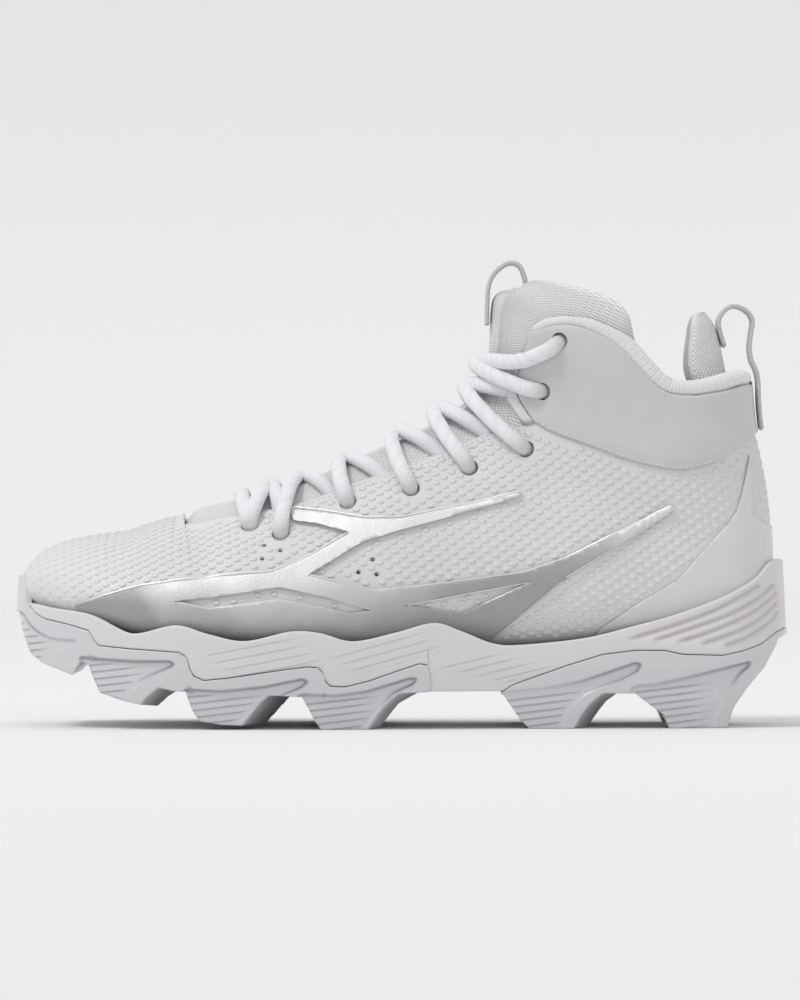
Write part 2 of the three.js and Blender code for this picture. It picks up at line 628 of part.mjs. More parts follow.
// Foil overlay on each side: a forked wing from the toe to the heel with two windows
const FOIL_TOP = [
  [7.6, 29.4], [8.6, 30.3], [11.8, 32.1], [17.1, 34.9], [20.5, 35.8], [27, 37.2], [33.3, 38.1],
  [36.2, 40.3], [38.4, 42.2], [43.5, 47.8], [39.7, 49.9], [36.1, 50.9], [36.1, 53.6], [40.3, 52.8],
  [45.5, 51.2],
  [50.1, 51.3], [55.4, 53.6], [60.2, 55.5], [65.4, 57.8], [65.3, 56.7], [60.2, 54], [55, 51], [48.9, 47.9],
  [44.9, 45.4], [43.5, 43.7], [38.1, 37.5], [46.3, 33.7], [54.2, 35.2], [65.4, 38], [71.2, 41.7],
  [81.5, 51.5], [84.7, 54.6], [84.8, 53.6], [81.5, 49.2], [71.2, 37.2], [61.5, 26.5],
];
const FOIL_WINDOWS = [
  [
    [21.1, 31.1], [28, 32.7], [34.5, 34.6], [39.9, 32.4], [46.7, 29], [43.3, 28.1], [39.9, 29.6],
    [34.5, 31.5], [25.7, 29.3],
  ],
  [[50.4, 30.1], [57.5, 32.7], [66.8, 35.9], [57.6, 27.9]],
];
const on_rim = (from, to) =>
  shifted(rim.filter((p) => p.x > along(from) && p.x < along(to)), 0, 2 * GAP);
const foil_outline = [...to_mm(FOIL_TOP), ...on_rim(8.2, 59.5).reverse()];
const foil_sheet = sheet(GAP + FOIL, GAP);
const foil = (from_y, to_y) =>
  foil_sheet.intersect(across_shoe(foil_outline, from_y, to_y, FOIL_WINDOWS.map(to_mm)));
const overlay_lateral = foil(-90, -1);
const overlay_medial = foil(1, 90);

// Heel film: smooth, from a point high on the heel down to the sole
const FILM_OUTLINE = [
  [101, 50], [97.7, 49.4], [96.3, 51], [95.1, 52.3], [95.2, 61.4], [94.9, 66.9], [94.3, 61.7], [93.7, 56.6],
  [93, 52.8], [92, 50.1], [89.7, 45.5], [87.2, 40.1], [85.3, 36.2], [79.8, 29.9], [75.7, 24.4],
];
const heel_overlay = sheet(GAP + FILM, GAP, 10).intersect(
  across_shoe([...to_mm(FILM_OUTLINE), ...on_rim(76.5, 102)]),
);

// Heel pad: a curved fin inside the collar; each row is one level of it
const HEEL_PAD = table(
  ["level", "back", "depth", "wings", "half"],
  [
    [68, 94.5, 1.2, 1.2, 14], [76, 94, 3, 1.5, 18], [82, 92.9, 3.4, 2.2, 19.5], [87.1, 92.2, 3.4, 2.8, 20],
    [91.7, 91.7, 3.2, 2.6, 19], [96.2, 91.2, 2.9, 2, 17], [99.6, 90.5, 2.6, 1.2, 14],
    [101.8, 89.7, 1.8, 0.6, 9],
  ],
);
const PAD_POINTS = 7;
const pad_rings = HEEL_PAD.map((row) => {
  const ring = [];
  for (const face of [0, 1])
    for (let k = 0; k < PAD_POINTS; k++) {
      const share = ((k + 0.5) / PAD_POINTS) * 2 - 1;
      const y = across(row.half) * (face ? -share : share);
      const depth = face * row.depth * Math.sqrt(1 - (share * 0.9) ** 4) + row.wings * share * share;
      ring.push(new THREE.Vector3(along(row.back - depth), y, above(row.level)));
    }
  return ring;
});
const pad_top = middle_of(pad_rings.at(-1));
pad_top.z += 1.2;
const heel_pad = loft(pad_rings, middle_of(pad_rings[0]), pad_top);

// Webbing loops at the heel and on the tongue, drawn as the middle of their thickness
const HEEL_LOOP = [
  [91.4, 97.7], [91.2, 100.3], [92, 102.8], [93.1, 103.8], [94.3, 103.2], [95.2, 101.8], [95.6, 99.9],
  [95.4, 97.1], [95.2, 93.8], [95.4, 90.6], [96, 88], [96.3, 85.4], [96.4, 80], [96.6, 75.5], [96.8, 73],
];
const TONGUE_LOOP = [
  [61.15, 99], [61.15, 101.9], [61.2, 105.4], [61.3, 108.1], [61.7, 110.6], [62.5, 112.7], [63.7, 114.3],
  [64.6, 114.5], [65.4, 113.7], [65.9, 111.7],
];
const heel_loop = strap(HEEL_LOOP, WEBBING, LOOP_WIDTH);
const tongue_loop = strap(TONGUE_LOOP, WEBBING, LOOP_WIDTH);

// A cord laid over the last from one eyelet to another by way of a peak on the instep line;
// its hand-chosen stops are [share of the way, height of its middle]
function cord(from, to, peak, stops, sides = 6) {
  const bend = 4 * (peak.place - (from.place + to.place) / 2);
  const spots = stops.map(([way, lift]) => {
    const place = from.place + (to.place - from.place) * way + bend * way * (1 - way);
    const turn = from.turn + (to.turn - from.turn) * way;
    return { point: skin_point(place, turn, lift), up: last_normal(place, turn) };
  });
  const rings = spots.map((spot, i) => {
    const before = spots[Math.max(i - 1, 0)].point;
    const after = spots[Math.min(i + 1, spots.length - 1)].point;
    const run = after.clone().sub(before).normalize();
    const aside = new THREE.Vector3().crossVectors(run, spot.up).normalize();
    const up = new THREE.Vector3().crossVectors(aside, run).normalize();
    return Array.from({ length: sides }, (_, k) => {
      const angle = ((k + 0.5) / sides) * 2 * Math.PI;
      return spot.point
        .clone()
        .addScaledVector(aside, (Math.cos(angle) * LACE_WIDE) / 2)
        .addScaledVector(up, (Math.sin(angle) * LACE_HIGH) / 2);
    });
  });
  return loft(rings, spots[0].point, spots.at(-1).point);
}

// The lace: a bar across the lowest eyelets, then seven crossings up to the ankle
const PEAKS = table(
  ["x", "z"],
  [[33.6, 57], [37.2, 60], [43.3, 65], [49.7, 71.5], [55, 77.4], [59, 83.6], [60.4, 91]],
);
const BAR_STOPS = [[0.06, 2.2], [0.2, 2.3], [0.35, 2.3], [0.5, 2.1], [0.65, 2.3], [0.8, 2.3], [0.94, 2.2]];
const FIRST_STOPS = [[0.38, 0.5], [0.48, 0.6], [0.58, 0.4], [0.67, 0.1]];
const CROSS_STOPS = [[0.06, 2.8], [0.2, 3], [0.34, 2.5], [0.5, 1.8], [0.62, 0.8], [0.72, 0.2]];
const TOP_STOPS = [[0.06, 3.8], [0.2, 3.8], [0.36, 3], [0.5, 2.1], [0.64, 3], [0.8, 3.8], [0.94, 3.8]];
const mirrored = (eyelet) => ({ place: eyelet.place, turn: -eyelet.turn });
const bar_peak = find_on_last(along(29.6), above(55));
const lace_bar = cord(eyelets[0], mirrored(eyelets[0]), bar_peak, BAR_STOPS);
const crossings = {};
for (let k = 0; k < eyelets.length - 1; k++) {
  const stops = k === 0 ? FIRST_STOPS : k === eyelets.length - 2 ? TOP_STOPS : CROSS_STOPS;
  const peak = find_on_last(along(PEAKS[k].x), above(PEAKS[k].z));
  crossings["lace_crossing_" + (k + 1)] = cord(eyelets[k], mirrored(eyelets[k + 1]), peak, stops).add(
    cord(mirrored(eyelets[k]), eyelets[k + 1], peak, stops),
  );
}

// Finishes: colour, roughness, metalness
const FINISHES = {
  nubbed_skin: ["#e2e2e4", 0.6, 0],
  smooth_panel: ["#d7d7d9", 0.7, 0],
  knit: ["#d9dbdb", 0.9, 0],
  foam: ["#e1dcde", 0.55, 0],
  plate: ["#dedce4", 0.35, 0],
  foil: ["#b4bdc3", 0.3, 0.9],
  film: ["#dededf", 0.3, 0],
  webbing: ["#dcdce2", 0.8, 0],
  lace: ["#e8e7ee", 0.8, 0],
};
const PARTS = {
  upper: [upper, "nubbed_skin"],
  midsole: [midsole, "foam"],
  outsole_forefoot: [outsole_forefoot, "plate"],
  outsole_heel: [outsole_heel, "plate"],
  insole: [insole, "knit"],
  tongue: [tongue, "knit"],
  ankle_cuff: [ankle_cuff, "smooth_panel"],
  collar_binding: [collar_binding, "knit"],
  throat_tape_lateral: [throat_tape_lateral, "knit"],
  throat_tape_medial: [throat_tape_medial, "knit"],
  overlay_lateral: [overlay_lateral, "foil"],
  overlay_medial: [overlay_medial, "foil"],
  heel_overlay: [heel_overlay, "film"],
  heel_pad: [heel_pad, "knit"],
  heel_loop: [heel_loop, "webbing"],
  tongue_loop: [tongue_loop, "webbing"],
  lace_bar: [lace_bar, "lace"],
};
for (const [name, made] of Object.entries(crossings)) PARTS[name] = [made, "lace"];

// Each solid becomes one named mesh; the group's origin is the middle of the floor under the shoe
const group = new THREE.Group();
group.name = "football_cleat";
for (const [name, [made, finish]] of Object.entries(PARTS)) {
  const mesh_data = made.getMesh();
  const geometry = new THREE.BufferGeometry();
  geometry.setAttribute("position", new THREE.BufferAttribute(mesh_data.vertProperties, 3));
  geometry.setIndex(new THREE.BufferAttribute(mesh_data.triVerts, 1));
  const [color, roughness, metalness] = FINISHES[finish];
  const mesh = new THREE.Mesh(geometry, new THREE.MeshStandardMaterial({ color, roughness, metalness }));
  mesh.name = name;
  group.add(mesh);
}
const box = new THREE.Box3().setFromObject(group);
const middle = box.getCenter(new THREE.Vector3());
for (const mesh of group.children) mesh.geometry.translate(-middle.x, -middle.y, -box.min.z);

export default group;
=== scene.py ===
# %% [markdown]
# # A high top football cleat
# The shoe is drawn on its last, the foot shaped form that a real shoe is pulled over.
# Every panel of the upper is a patch of that last, so neighbouring panels always fit each other.

# %% Tools and the frame
import json
import math

import bmesh
import bpy
import numpy as np
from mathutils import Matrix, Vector

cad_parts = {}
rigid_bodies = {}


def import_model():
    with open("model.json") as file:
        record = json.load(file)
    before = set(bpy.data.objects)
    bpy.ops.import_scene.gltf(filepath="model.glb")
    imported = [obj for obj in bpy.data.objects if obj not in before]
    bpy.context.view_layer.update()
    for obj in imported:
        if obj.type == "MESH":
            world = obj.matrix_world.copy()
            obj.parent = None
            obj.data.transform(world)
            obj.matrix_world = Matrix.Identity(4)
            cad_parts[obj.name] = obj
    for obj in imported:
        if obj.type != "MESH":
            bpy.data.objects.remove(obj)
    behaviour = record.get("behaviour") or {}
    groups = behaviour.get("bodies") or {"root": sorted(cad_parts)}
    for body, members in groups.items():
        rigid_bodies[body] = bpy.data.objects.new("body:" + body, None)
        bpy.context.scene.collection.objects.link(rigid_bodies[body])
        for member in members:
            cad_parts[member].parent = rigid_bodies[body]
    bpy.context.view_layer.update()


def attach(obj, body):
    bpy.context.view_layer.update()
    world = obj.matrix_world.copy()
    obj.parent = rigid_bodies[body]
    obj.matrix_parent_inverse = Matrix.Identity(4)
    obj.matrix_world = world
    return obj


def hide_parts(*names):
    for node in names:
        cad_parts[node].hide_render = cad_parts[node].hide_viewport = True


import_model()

# %% [markdown]
# ## Driving sizes
# The tables below hold hundredths: x of the length, z of the collar height, y of the width at the ball.
# Millimetres are used until a mesh is written, because shoe makers think in them.

# %% Sizes
LENGTH = 298.0
BALL_WIDTH = 104.0
COLLAR_HEIGHT = 156.0
MIDDLE = np.array([148.977, -1.862, 0.0])

GAP = 0.3
WALL = 2.2
FOIL = 0.7
FILM = 0.5
CUFF = 0.9
TONGUE = 5.4
PLATE_STEP = 0.5


def along(share):
    return np.asarray(share, float) * LENGTH / 100


def across(share):
    return np.asarray(share, float) * BALL_WIDTH / 100


def above(share):
    return np.asarray(share, float) * COLLAR_HEIGHT / 100


def to_mm(line):
    line = np.asarray(line, float)
    return np.column_stack([along(line[:, 0]), above(line[:, 1])])


print("length, width, height in mm:", LENGTH, BALL_WIDTH, COLLAR_HEIGHT)

# %% [markdown]
# ## The last
# Each row of the table is one slanted section, from the instep line to the sole and heel line.
# A curve through the rows gives a smooth form without a dense list of points.

# %% Sections of the last
SECTIONS = np.array([
    # instep_x, instep_z, heel_x, heel_z, outer, inner, ridge, wide, crown, base
    [0.87, 36.9, 0.87, 31.4, 4, 19, 7.7, 0.5, 0.9, 0.8],
    [1.54, 39.4, 1.74, 29.5, 13.5, 25, 7.7, 0.55, 0.9, 0.75],
    [3.19, 42.8, 3.69, 28.1, 21, 30, 7.7, 0.62, 0.88, 0.7],
    [5.34, 44.9, 6.7, 26.6, 29, 35.3, 7.7, 0.68, 0.86, 0.65],
    [9.06, 46.8, 11.1, 24.2, 36.5, 40.2, 7.6, 0.7, 0.85, 0.6],
    [13.5, 48.1, 16.4, 22, 42.3, 43.5, 7.2, 0.72, 0.85, 0.55],
    [18.5, 50.8, 22.1, 21, 46.2, 44.6, 6.6, 0.73, 0.85, 0.52],
    [23.8, 53.6, 28.2, 19.9, 47.8, 44, 5.8, 0.73, 0.85, 0.5],
    [29.5, 56.3, 34.6, 18.9, 47.8, 41.8, 5, 0.72, 0.85, 0.5],
    [35.2, 59.1, 41.3, 18.3, 46, 38.6, 4.4, 0.71, 0.86, 0.52],
    [40.6, 63, 48.3, 17.9, 43, 35.8, 3.9, 0.7, 0.87, 0.55],
    [45.6, 67.5, 55.4, 17.9, 40.3, 34, 3.4, 0.68, 0.88, 0.57],
    [50.1, 72.1, 63.1, 18.5, 37.8, 33.4, 2.9, 0.68, 0.88, 0.57],
    [54, 76.5, 70.5, 19.2, 36.2, 33.4, 2.4, 0.69, 0.88, 0.58],
    [57, 80.1, 77.9, 20.6, 35.2, 33.6, 1.9, 0.7, 0.88, 0.6],
    [59.2, 84, 85.2, 21.3, 34.6, 33.6, 1.4, 0.7, 0.88, 0.62],
    [60.2, 88.8, 91.6, 22.8, 34, 33.4, 1, 0.68, 0.88, 0.64],
    [60.6, 93.9, 96, 26, 33.4, 33.2, 0.5, 0.65, 0.88, 0.68],
    [60.7, 98.7, 97.7, 31.7, 33, 33, 0, 0.62, 0.88, 0.72],
    [60.8, 102.6, 98, 39.5, 32.8, 32.8, 0, 0.58, 0.88, 0.76],
    [61, 105.8, 97.9, 48.1, 32.9, 32.9, 0, 0.55, 0.88, 0.8],
    [61.2, 108.7, 97.5, 57.5, 33.3, 33.3, 0, 0.52, 0.88, 0.82],
    [61.7, 111.5, 96.6, 66.7, 34, 34, 0, 0.51, 0.88, 0.82],
    [62.4, 114.4, 95.6, 75, 34.8, 34.8, 0, 0.5, 0.88, 0.82],
    [63.4, 117.3, 95.1, 83.3, 35.4, 35.4, 0, 0.5, 0.88, 0.82],
    [64.8, 120.5, 94.9, 92.3, 35.8, 35.8, 0, 0.5, 0.88, 0.82],
])
LAST_SECTION = len(SECTIONS) - 1


def row_at(rows, place):
    """A smooth curve through the rows, read at places counted in rows."""
    place = np.clip(np.asarray(place, float), 0, len(rows) - 1)
    i = np.minimum(place.astype(int), len(rows) - 2)
    t = (place - i)[..., None]
    a, b, c, d = (rows[np.clip(i + k, 0, len(rows) - 1)] for k in (-1, 0, 1, 2))
    keep = 2 * t**3 - 3 * t**2 + 1
    return keep * b + (1 - keep) * c + (t**3 - 2 * t**2 + t) * (c - a) / 2 + (t**3 - t**2) * (d - b) / 2


def last_point(place, turn):
    """Place counts sections from the toe, turn goes round one section from the instep line."""
    row = row_at(SECTIONS, place)
    instep_x, instep_z, heel_x, heel_z, outer, inner, ridge, wide, crown, base = np.moveaxis(row, -1, 0)
    sunk = (1 - np.cos(turn)) / 2
    share = wide * sunk / (wide * sunk + (1 - wide) * (1 - sunk))
    reach = np.abs(np.sin(turn)) ** (crown + (base - crown) * share)
    edge = np.where(np.sin(turn) > 0, -outer, inner)
    x = along(instep_x + (heel_x - instep_x) * share)
    y = across(ridge + (edge - ridge) * reach)
    z = above(instep_z + (heel_z - instep_z) * share)
    return np.stack([x, y, z], axis=-1)


def last_normal(place, turn):
    place, turn = np.broadcast_arrays(np.asarray(place, float), np.asarray(turn, float))
    ahead = last_point(np.minimum(place + 0.02, LAST_SECTION), turn)
    behind = last_point(np.maximum(place - 0.02, 0), turn)
    normal = np.cross(last_point(place, turn + 0.02) - last_point(place, turn - 0.02), ahead - behind)
    return normal / np.linalg.norm(normal, axis=-1, keepdims=True)


def find_on_last(x, z):
    """The place and turn at which the outer side of the last is seen at x and z."""
    x, z = np.broadcast_arrays(np.asarray(x, float), np.asarray(z, float))
    low, high = np.zeros(x.shape), np.full(x.shape, float(LAST_SECTION))
    for _ in range(40):
        middle = (low + high) / 2
        row = row_at(SECTIONS, middle)
        run, rise = along(row[..., 2] - row[..., 0]), above(row[..., 3] - row[..., 1])
        aside = run * (z - above(row[..., 1])) - rise * (x - along(row[..., 0]))
        low, high = np.where(aside > 0, middle, low), np.where(aside > 0, high, middle)
    row = row_at(SECTIONS, low)
    run, rise = along(row[..., 2] - row[..., 0]), above(row[..., 3] - row[..., 1])
    way = (x - along(row[..., 0])) * run + (z - above(row[..., 1])) * rise
    share = np.clip(way / (run**2 + rise**2), 0, 1)
    wide = row[..., 7]
    sunk = share * (1 - wide) / (wide + share * (1 - 2 * wide))
    return low, 2 * np.arcsin(np.sqrt(sunk))


print("last sections:", len(SECTIONS), "widest at the ball:", float(SECTIONS[:, 4].max()))

# %% [markdown]
# ## Lines and distances
# Panels are drawn as lines seen from the side.
# A soft rise or groove is a distance from such a line, put through a smooth bell.

# %% Line helpers
def through(points, count, spans=12):
    """Points spread evenly along a smooth curve through the given ones."""
    points = np.asarray(points, float)
    dense = row_at(points, np.linspace(0, len(points) - 1, (len(points) - 1) * spans + 1))
    steps = np.r_[0, np.cumsum(np.linalg.norm(np.diff(dense, axis=0), axis=1))]
    spread = np.linspace(0, steps[-1], count)
    return np.column_stack([np.interp(spread, steps, dense[:, k]) for k in range(dense.shape[1])])


def from_line(points, line):
    """Distance of each point from a line of straight pieces, and the share of the line passed there."""
    start, step = line[:-1], np.diff(line, axis=0)
    size = np.maximum((step**2).sum(axis=1), 1e-12)
    way = np.clip(((points[:, None] - start) * step).sum(axis=2) / size, 0, 1)
    apart = np.linalg.norm(points[:, None] - start - way[..., None] * step, axis=2)
    nearest = apart.argmin(axis=1)
    lengths = np.sqrt(size)
    passed = np.r_[0, np.cumsum(lengths)]
    here = np.arange(len(points))
    share = (passed[nearest] + way[here, nearest] * lengths[nearest]) / passed[-1]
    return apart[here, nearest], share


def inside(points, outline):
    """Which points lie inside a closed outline."""
    a, b = outline, np.roll(outline, -1, axis=0)
    x, z = points[:, :1], points[:, 1:]
    crosses = (a[:, 1] > z) != (b[:, 1] > z)
    rise = np.where(b[:, 1] == a[:, 1], 1e-9, b[:, 1] - a[:, 1])
    return (crosses & (x < a[:, 0] + (z - a[:, 1]) * (b[:, 0] - a[:, 0]) / rise)).sum(axis=1) % 2 == 1


def bell(distance, width):
    return np.exp(-((distance / width) ** 2))


def smooth_step(low, high, value):
    t = np.clip((value - low) / (high - low), 0, 1)
    return t * t * (3 - 2 * t)


# Soft troughs and ridges that worn shape leaves in the skin
CREASES = [
    # from x, z, to x, z, half width and height in millimetres
    [15, 47, 19, 31, 6, -0.5],
    [22, 49, 26, 33, 5, -0.7],
    [26, 47, 31, 36, 4, 0.4],
    [31, 50, 37, 40, 6, -0.6],
    [44, 58, 50, 50, 7, 0.5],
    [56, 62, 66, 50, 8, -0.7],
    [62, 60, 78, 44, 7, 0.5],
    [70, 62, 90, 46, 8, -0.8],
    [74, 52, 84, 36, 6, 0.4],
    [68, 80, 82, 72, 7, -0.7],
    [70, 92, 78, 84, 6, 0.5],
    [84, 76, 94, 74, 5, -0.5],
]


def creases(points):
    rise = np.zeros(len(points))
    for x0, z0, x1, z1, width, height in CREASES:
        apart, share = from_line(points[:, [0, 2]], to_mm([[x0, z0], [x1, z1]]))
        rise += height * bell(apart, width)
    return rise


def skin(place, turn, offset):
    """Points of the skin of the shoe, at an offset from the last in millimetres."""
    place, turn = np.broadcast_arrays(np.asarray(place, float), np.asarray(turn, float))
    flat_place, flat_turn = place.ravel(), turn.ravel()
    points = last_point(flat_place, flat_turn)
    offset = np.broadcast_to(offset, place.shape).ravel() + creases(points)
    points = points + last_normal(flat_place, flat_turn) * offset[:, None]
    return points.reshape(place.shape + (3,))


print("creases placed by hand:", len(CREASES))

# %% [markdown]
# ## Lines of the panels
# These are the edges that the eye follows from the side: rim of the sole, throat, collar, cuff and foil.

# %% Panel lines
RIM_LINE = [
    [1.7, 30.5], [3.5, 30], [5.4, 29.3], [9.3, 28.3], [11.5, 26.9], [14.8, 23.8], [16.8, 23.5],
    [21.4, 25.4], [25.5, 23.3], [30.2, 21.6], [36, 23.9], [39.8, 23.5], [44, 21.5], [49.4, 23.6],
    [54.2, 25.9], [57.5, 24.1], [61.6, 21], [65, 20.5], [73.3, 22.1], [79.8, 25.1], [84.9, 27.7],
    [90.3, 31.3], [93.4, 33.9], [96.1, 36.9], [98.2, 40.6], [101, 41.2],
]
FORE_PART_LINE = [
    [0, 37.2], [0.9, 36.8], [1.3, 34], [1.7, 30.4], [2.8, 28.1], [4.1, 26.7], [7.5, 25.3], [10.1, 23.9],
    [10.9, 21.5], [11.4, 20.3], [15.3, 19.6], [21.8, 18.8], [22.8, 17.6], [23.1, 15.1], [23.6, 13.1],
    [24.9, 12], [28.2, 12.6], [35.1, 14.6], [38.2, 15.3], [39.5, 15.1], [40.2, 13.7], [40.4, 11.8],
    [41.1, 10.6], [43, 10.4], [46, 11.8], [49.4, 14.1], [52.4, 16], [53.4, 15.6], [53.7, 13.7],
]
HEEL_PART_LINE = [
    [62.9, 9], [64.5, 10.9], [71.3, 15.5], [75.7, 18.1], [79.9, 19.1], [83.6, 19.1], [86, 18.1],
    [91.2, 17.8], [93.9, 18.8], [96.3, 20.4], [98.4, 23.3], [101, 25],
]
THROAT_LINE = [
    [21.6, 53.6], [21.9, 50.2], [24.2, 50.4], [26.8, 51.6], [31.4, 53.1], [35, 53.9], [41.5, 58.2],
    [45.9, 61.2], [51.4, 64.6], [56.7, 68.7], [61.5, 72.8], [65.9, 74.1], [64.4, 78.4], [63.6, 81.5],
    [63.8, 84], [64.7, 88.9], [66.4, 94.6],
]
COLLAR_TOP_LINE = [
    [67.4, 97.9], [68.6, 99.7], [69.9, 100.2], [71.9, 100.2], [74.4, 99.4], [77.1, 97.2], [79.1, 94.9],
    [80.8, 91.2], [82.5, 87.6], [84, 85.1], [85.4, 84.6], [87.8, 84.7], [89.8, 85.5], [93.3, 87.2],
    [95.2, 87.1],
]
COLLAR_LOW_LINE = [
    [66.9, 97.3], [69.2, 98.6], [71.2, 99], [73.2, 98.3], [75.7, 96.3], [77.8, 93.8], [79.7, 90.1],
    [81.5, 86.1], [82.9, 83.5], [84.3, 82.1], [85.7, 81.6], [87.8, 81.5], [89.8, 82.1], [91.9, 82.9],
    [94, 84.2], [96, 84.6],
]
CUFF_LOW_LINE = [
    [67.2, 74.6], [69.9, 71.7], [75.4, 67.9], [78.5, 65.6], [82.3, 63.7], [85.3, 62.9], [87.2, 63.2],
    [89.6, 64.4], [91.8, 66.7], [93.7, 69.6], [96.2, 72.7],
]
CUFF_FRONT_LINE = [
    [66.9, 96.4], [66, 91.5], [65.3, 87.4], [64.9, 83.4], [65.2, 80.9], [66, 78.2], [67.2, 74.6],
]
EYELETS = [
    [30.6, 49.7], [34.6, 47.7], [43.2, 55.1], [51.3, 58.5], [58.8, 63.8], [66, 68.3], [68.3, 82.4],
    [70.5, 94.8],
]
EYELET_RADIUS = 3.3
PINHOLES = [[32.5, 44.9], [34.6, 43.7], [32.3, 41.5], [46.4, 41.3], [44.6, 38.2], [46.9, 37.7]]
rim = to_mm(RIM_LINE)
fore_part = to_mm(FORE_PART_LINE)
heel_part = to_mm(HEEL_PART_LINE)


def rim_height(x):
    """Height of the sole's rim over a place along the foot."""
    smooth_rim = through(rim, 400)
    return np.interp(x, smooth_rim[:, 0], smooth_rim[:, 1])


print("panel lines ready, rim at the ball in mm:", round(float(rim_height(110.0)), 1))

# %% [markdown]
# ## Making a mesh from a surface
# One grid operator makes the faces and a function says where each corner lies.
# The grid also gets a map in millimetres, so that weaves keep their size on every panel.

# %% Mesh helpers
scene = bpy.context.scene
finishes = {}


def to_scene(points):
    return (np.asarray(points) - MIDDLE) / 1000


def grid(columns, rows, surface, map_size=(100, 100)):
    """A mesh of a surface given over u and v from 0 to 1."""
    mesh = bpy.data.meshes.new("sheet")
    bm = bmesh.new()
    bmesh.ops.create_grid(bm, x_segments=columns, y_segments=rows, size=0.5)
    bm.to_mesh(mesh)
    bm.free()
    flat = np.empty(len(mesh.vertices) * 3)
    mesh.vertices.foreach_get("co", flat)
    share = flat.reshape(-1, 3)[:, :2] + 0.5
    points = surface(share[:, 0], share[:, 1])
    mesh.vertices.foreach_set("co", to_scene(points).ravel())
    corners = np.empty(len(mesh.loops), int)
    mesh.loops.foreach_get("vertex_index", corners)
    cloth_map = mesh.uv_layers.new(name="cloth")
    cloth_map.data.foreach_set("uv", (share[corners] * np.array(map_size)).ravel())
    return mesh


def joined(name, meshes, merge=2e-5, outward=True):
    """One object from several meshes, their common edges welded."""
    bm = bmesh.new()
    for mesh in meshes:
        bm.from_mesh(mesh)
        bpy.data.meshes.remove(mesh)
    if merge:
        bmesh.ops.remove_doubles(bm, verts=bm.verts, dist=merge)
        bmesh.ops.dissolve_degenerate(bm, edges=bm.edges, dist=1e-6)
    if outward:
        bmesh.ops.recalc_face_normals(bm, faces=bm.faces)
    for face in bm.faces:
        face.smooth = True
    mesh = bpy.data.meshes.new(name)
    bm.to_mesh(mesh)
    bm.free()
    piece = bpy.data.objects.new(name, mesh)
    scene.collection.objects.link(piece)
    return piece


def settled(piece):
    """Apply the modifiers of a piece and keep the plain mesh."""
    view = bpy.context.evaluated_depsgraph_get()
    mesh = bpy.data.meshes.new_from_object(piece.evaluated_get(view))
    piece.modifiers.clear()
    old = piece.data
    piece.data = mesh
    bpy.data.meshes.remove(old)
    return piece


def thickened(piece, thickness, offset=-1.0):
    modifier = piece.modifiers.new("thickness", "SOLIDIFY")
    modifier.thickness = thickness / 1000
    modifier.offset = offset
    modifier.use_even_offset = True
    return settled(piece)


def cut(piece, tool, operation="DIFFERENCE"):
    modifier = piece.modifiers.new("cut", "BOOLEAN")
    modifier.object = tool
    modifier.operation = operation
    modifier.solver = "EXACT"
    settled(piece)
    bpy.data.objects.remove(tool)
    return piece


def finished(piece, node, slot, *materials):
    """Give a piece its materials and its place in the frame."""
    piece.data.materials.clear()
    for material in materials:
        piece.data.materials.append(material)
    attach(piece, "root")
    if node:
        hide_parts(*([node] if isinstance(node, str) else node))
    count = sum(len(face.vertices) - 2 for face in piece.data.polygons)
    finishes[piece.name] = count
    print(piece.name, "triangles:", count)
    return piece


def prism(name, outline, from_y=-95.0, to_y=95.0, holes=()):
    """A side outline with holes, run across the shoe."""
    bm = bmesh.new()
    for ring in [outline, *holes]:
        corners = [bm.verts.new((x, from_y, z)) for x, z in ring]
        for a, b in zip(corners, corners[1:] + corners[:1]):
            bm.edges.new((a, b))
    filled = bmesh.ops.triangle_fill(bm, edges=bm.edges, use_beauty=True)
    faces = [item for item in filled["geom"] if isinstance(item, bmesh.types.BMFace)]
    made = bmesh.ops.extrude_face_region(bm, geom=faces)
    moved = [item for item in made["geom"] if isinstance(item, bmesh.types.BMVert)]
    bmesh.ops.translate(bm, verts=moved, vec=(0, to_y - from_y, 0))
    bmesh.ops.recalc_face_normals(bm, faces=bm.faces)
    for corner in bm.verts:
        corner.co = to_scene(np.array(corner.co))
    mesh = bpy.data.meshes.new(name)
    bm.to_mesh(mesh)
    bm.free()
    piece = bpy.data.objects.new(name, mesh)
    scene.collection.objects.link(piece)
    return piece


print("mesh helpers ready")

# %% [markdown]
# ## Finishes
# A finish is a small node tree. Shared effects are node groups that give back only heights and masks,
# and each material keeps its own shader, so every surface can be tuned alone.

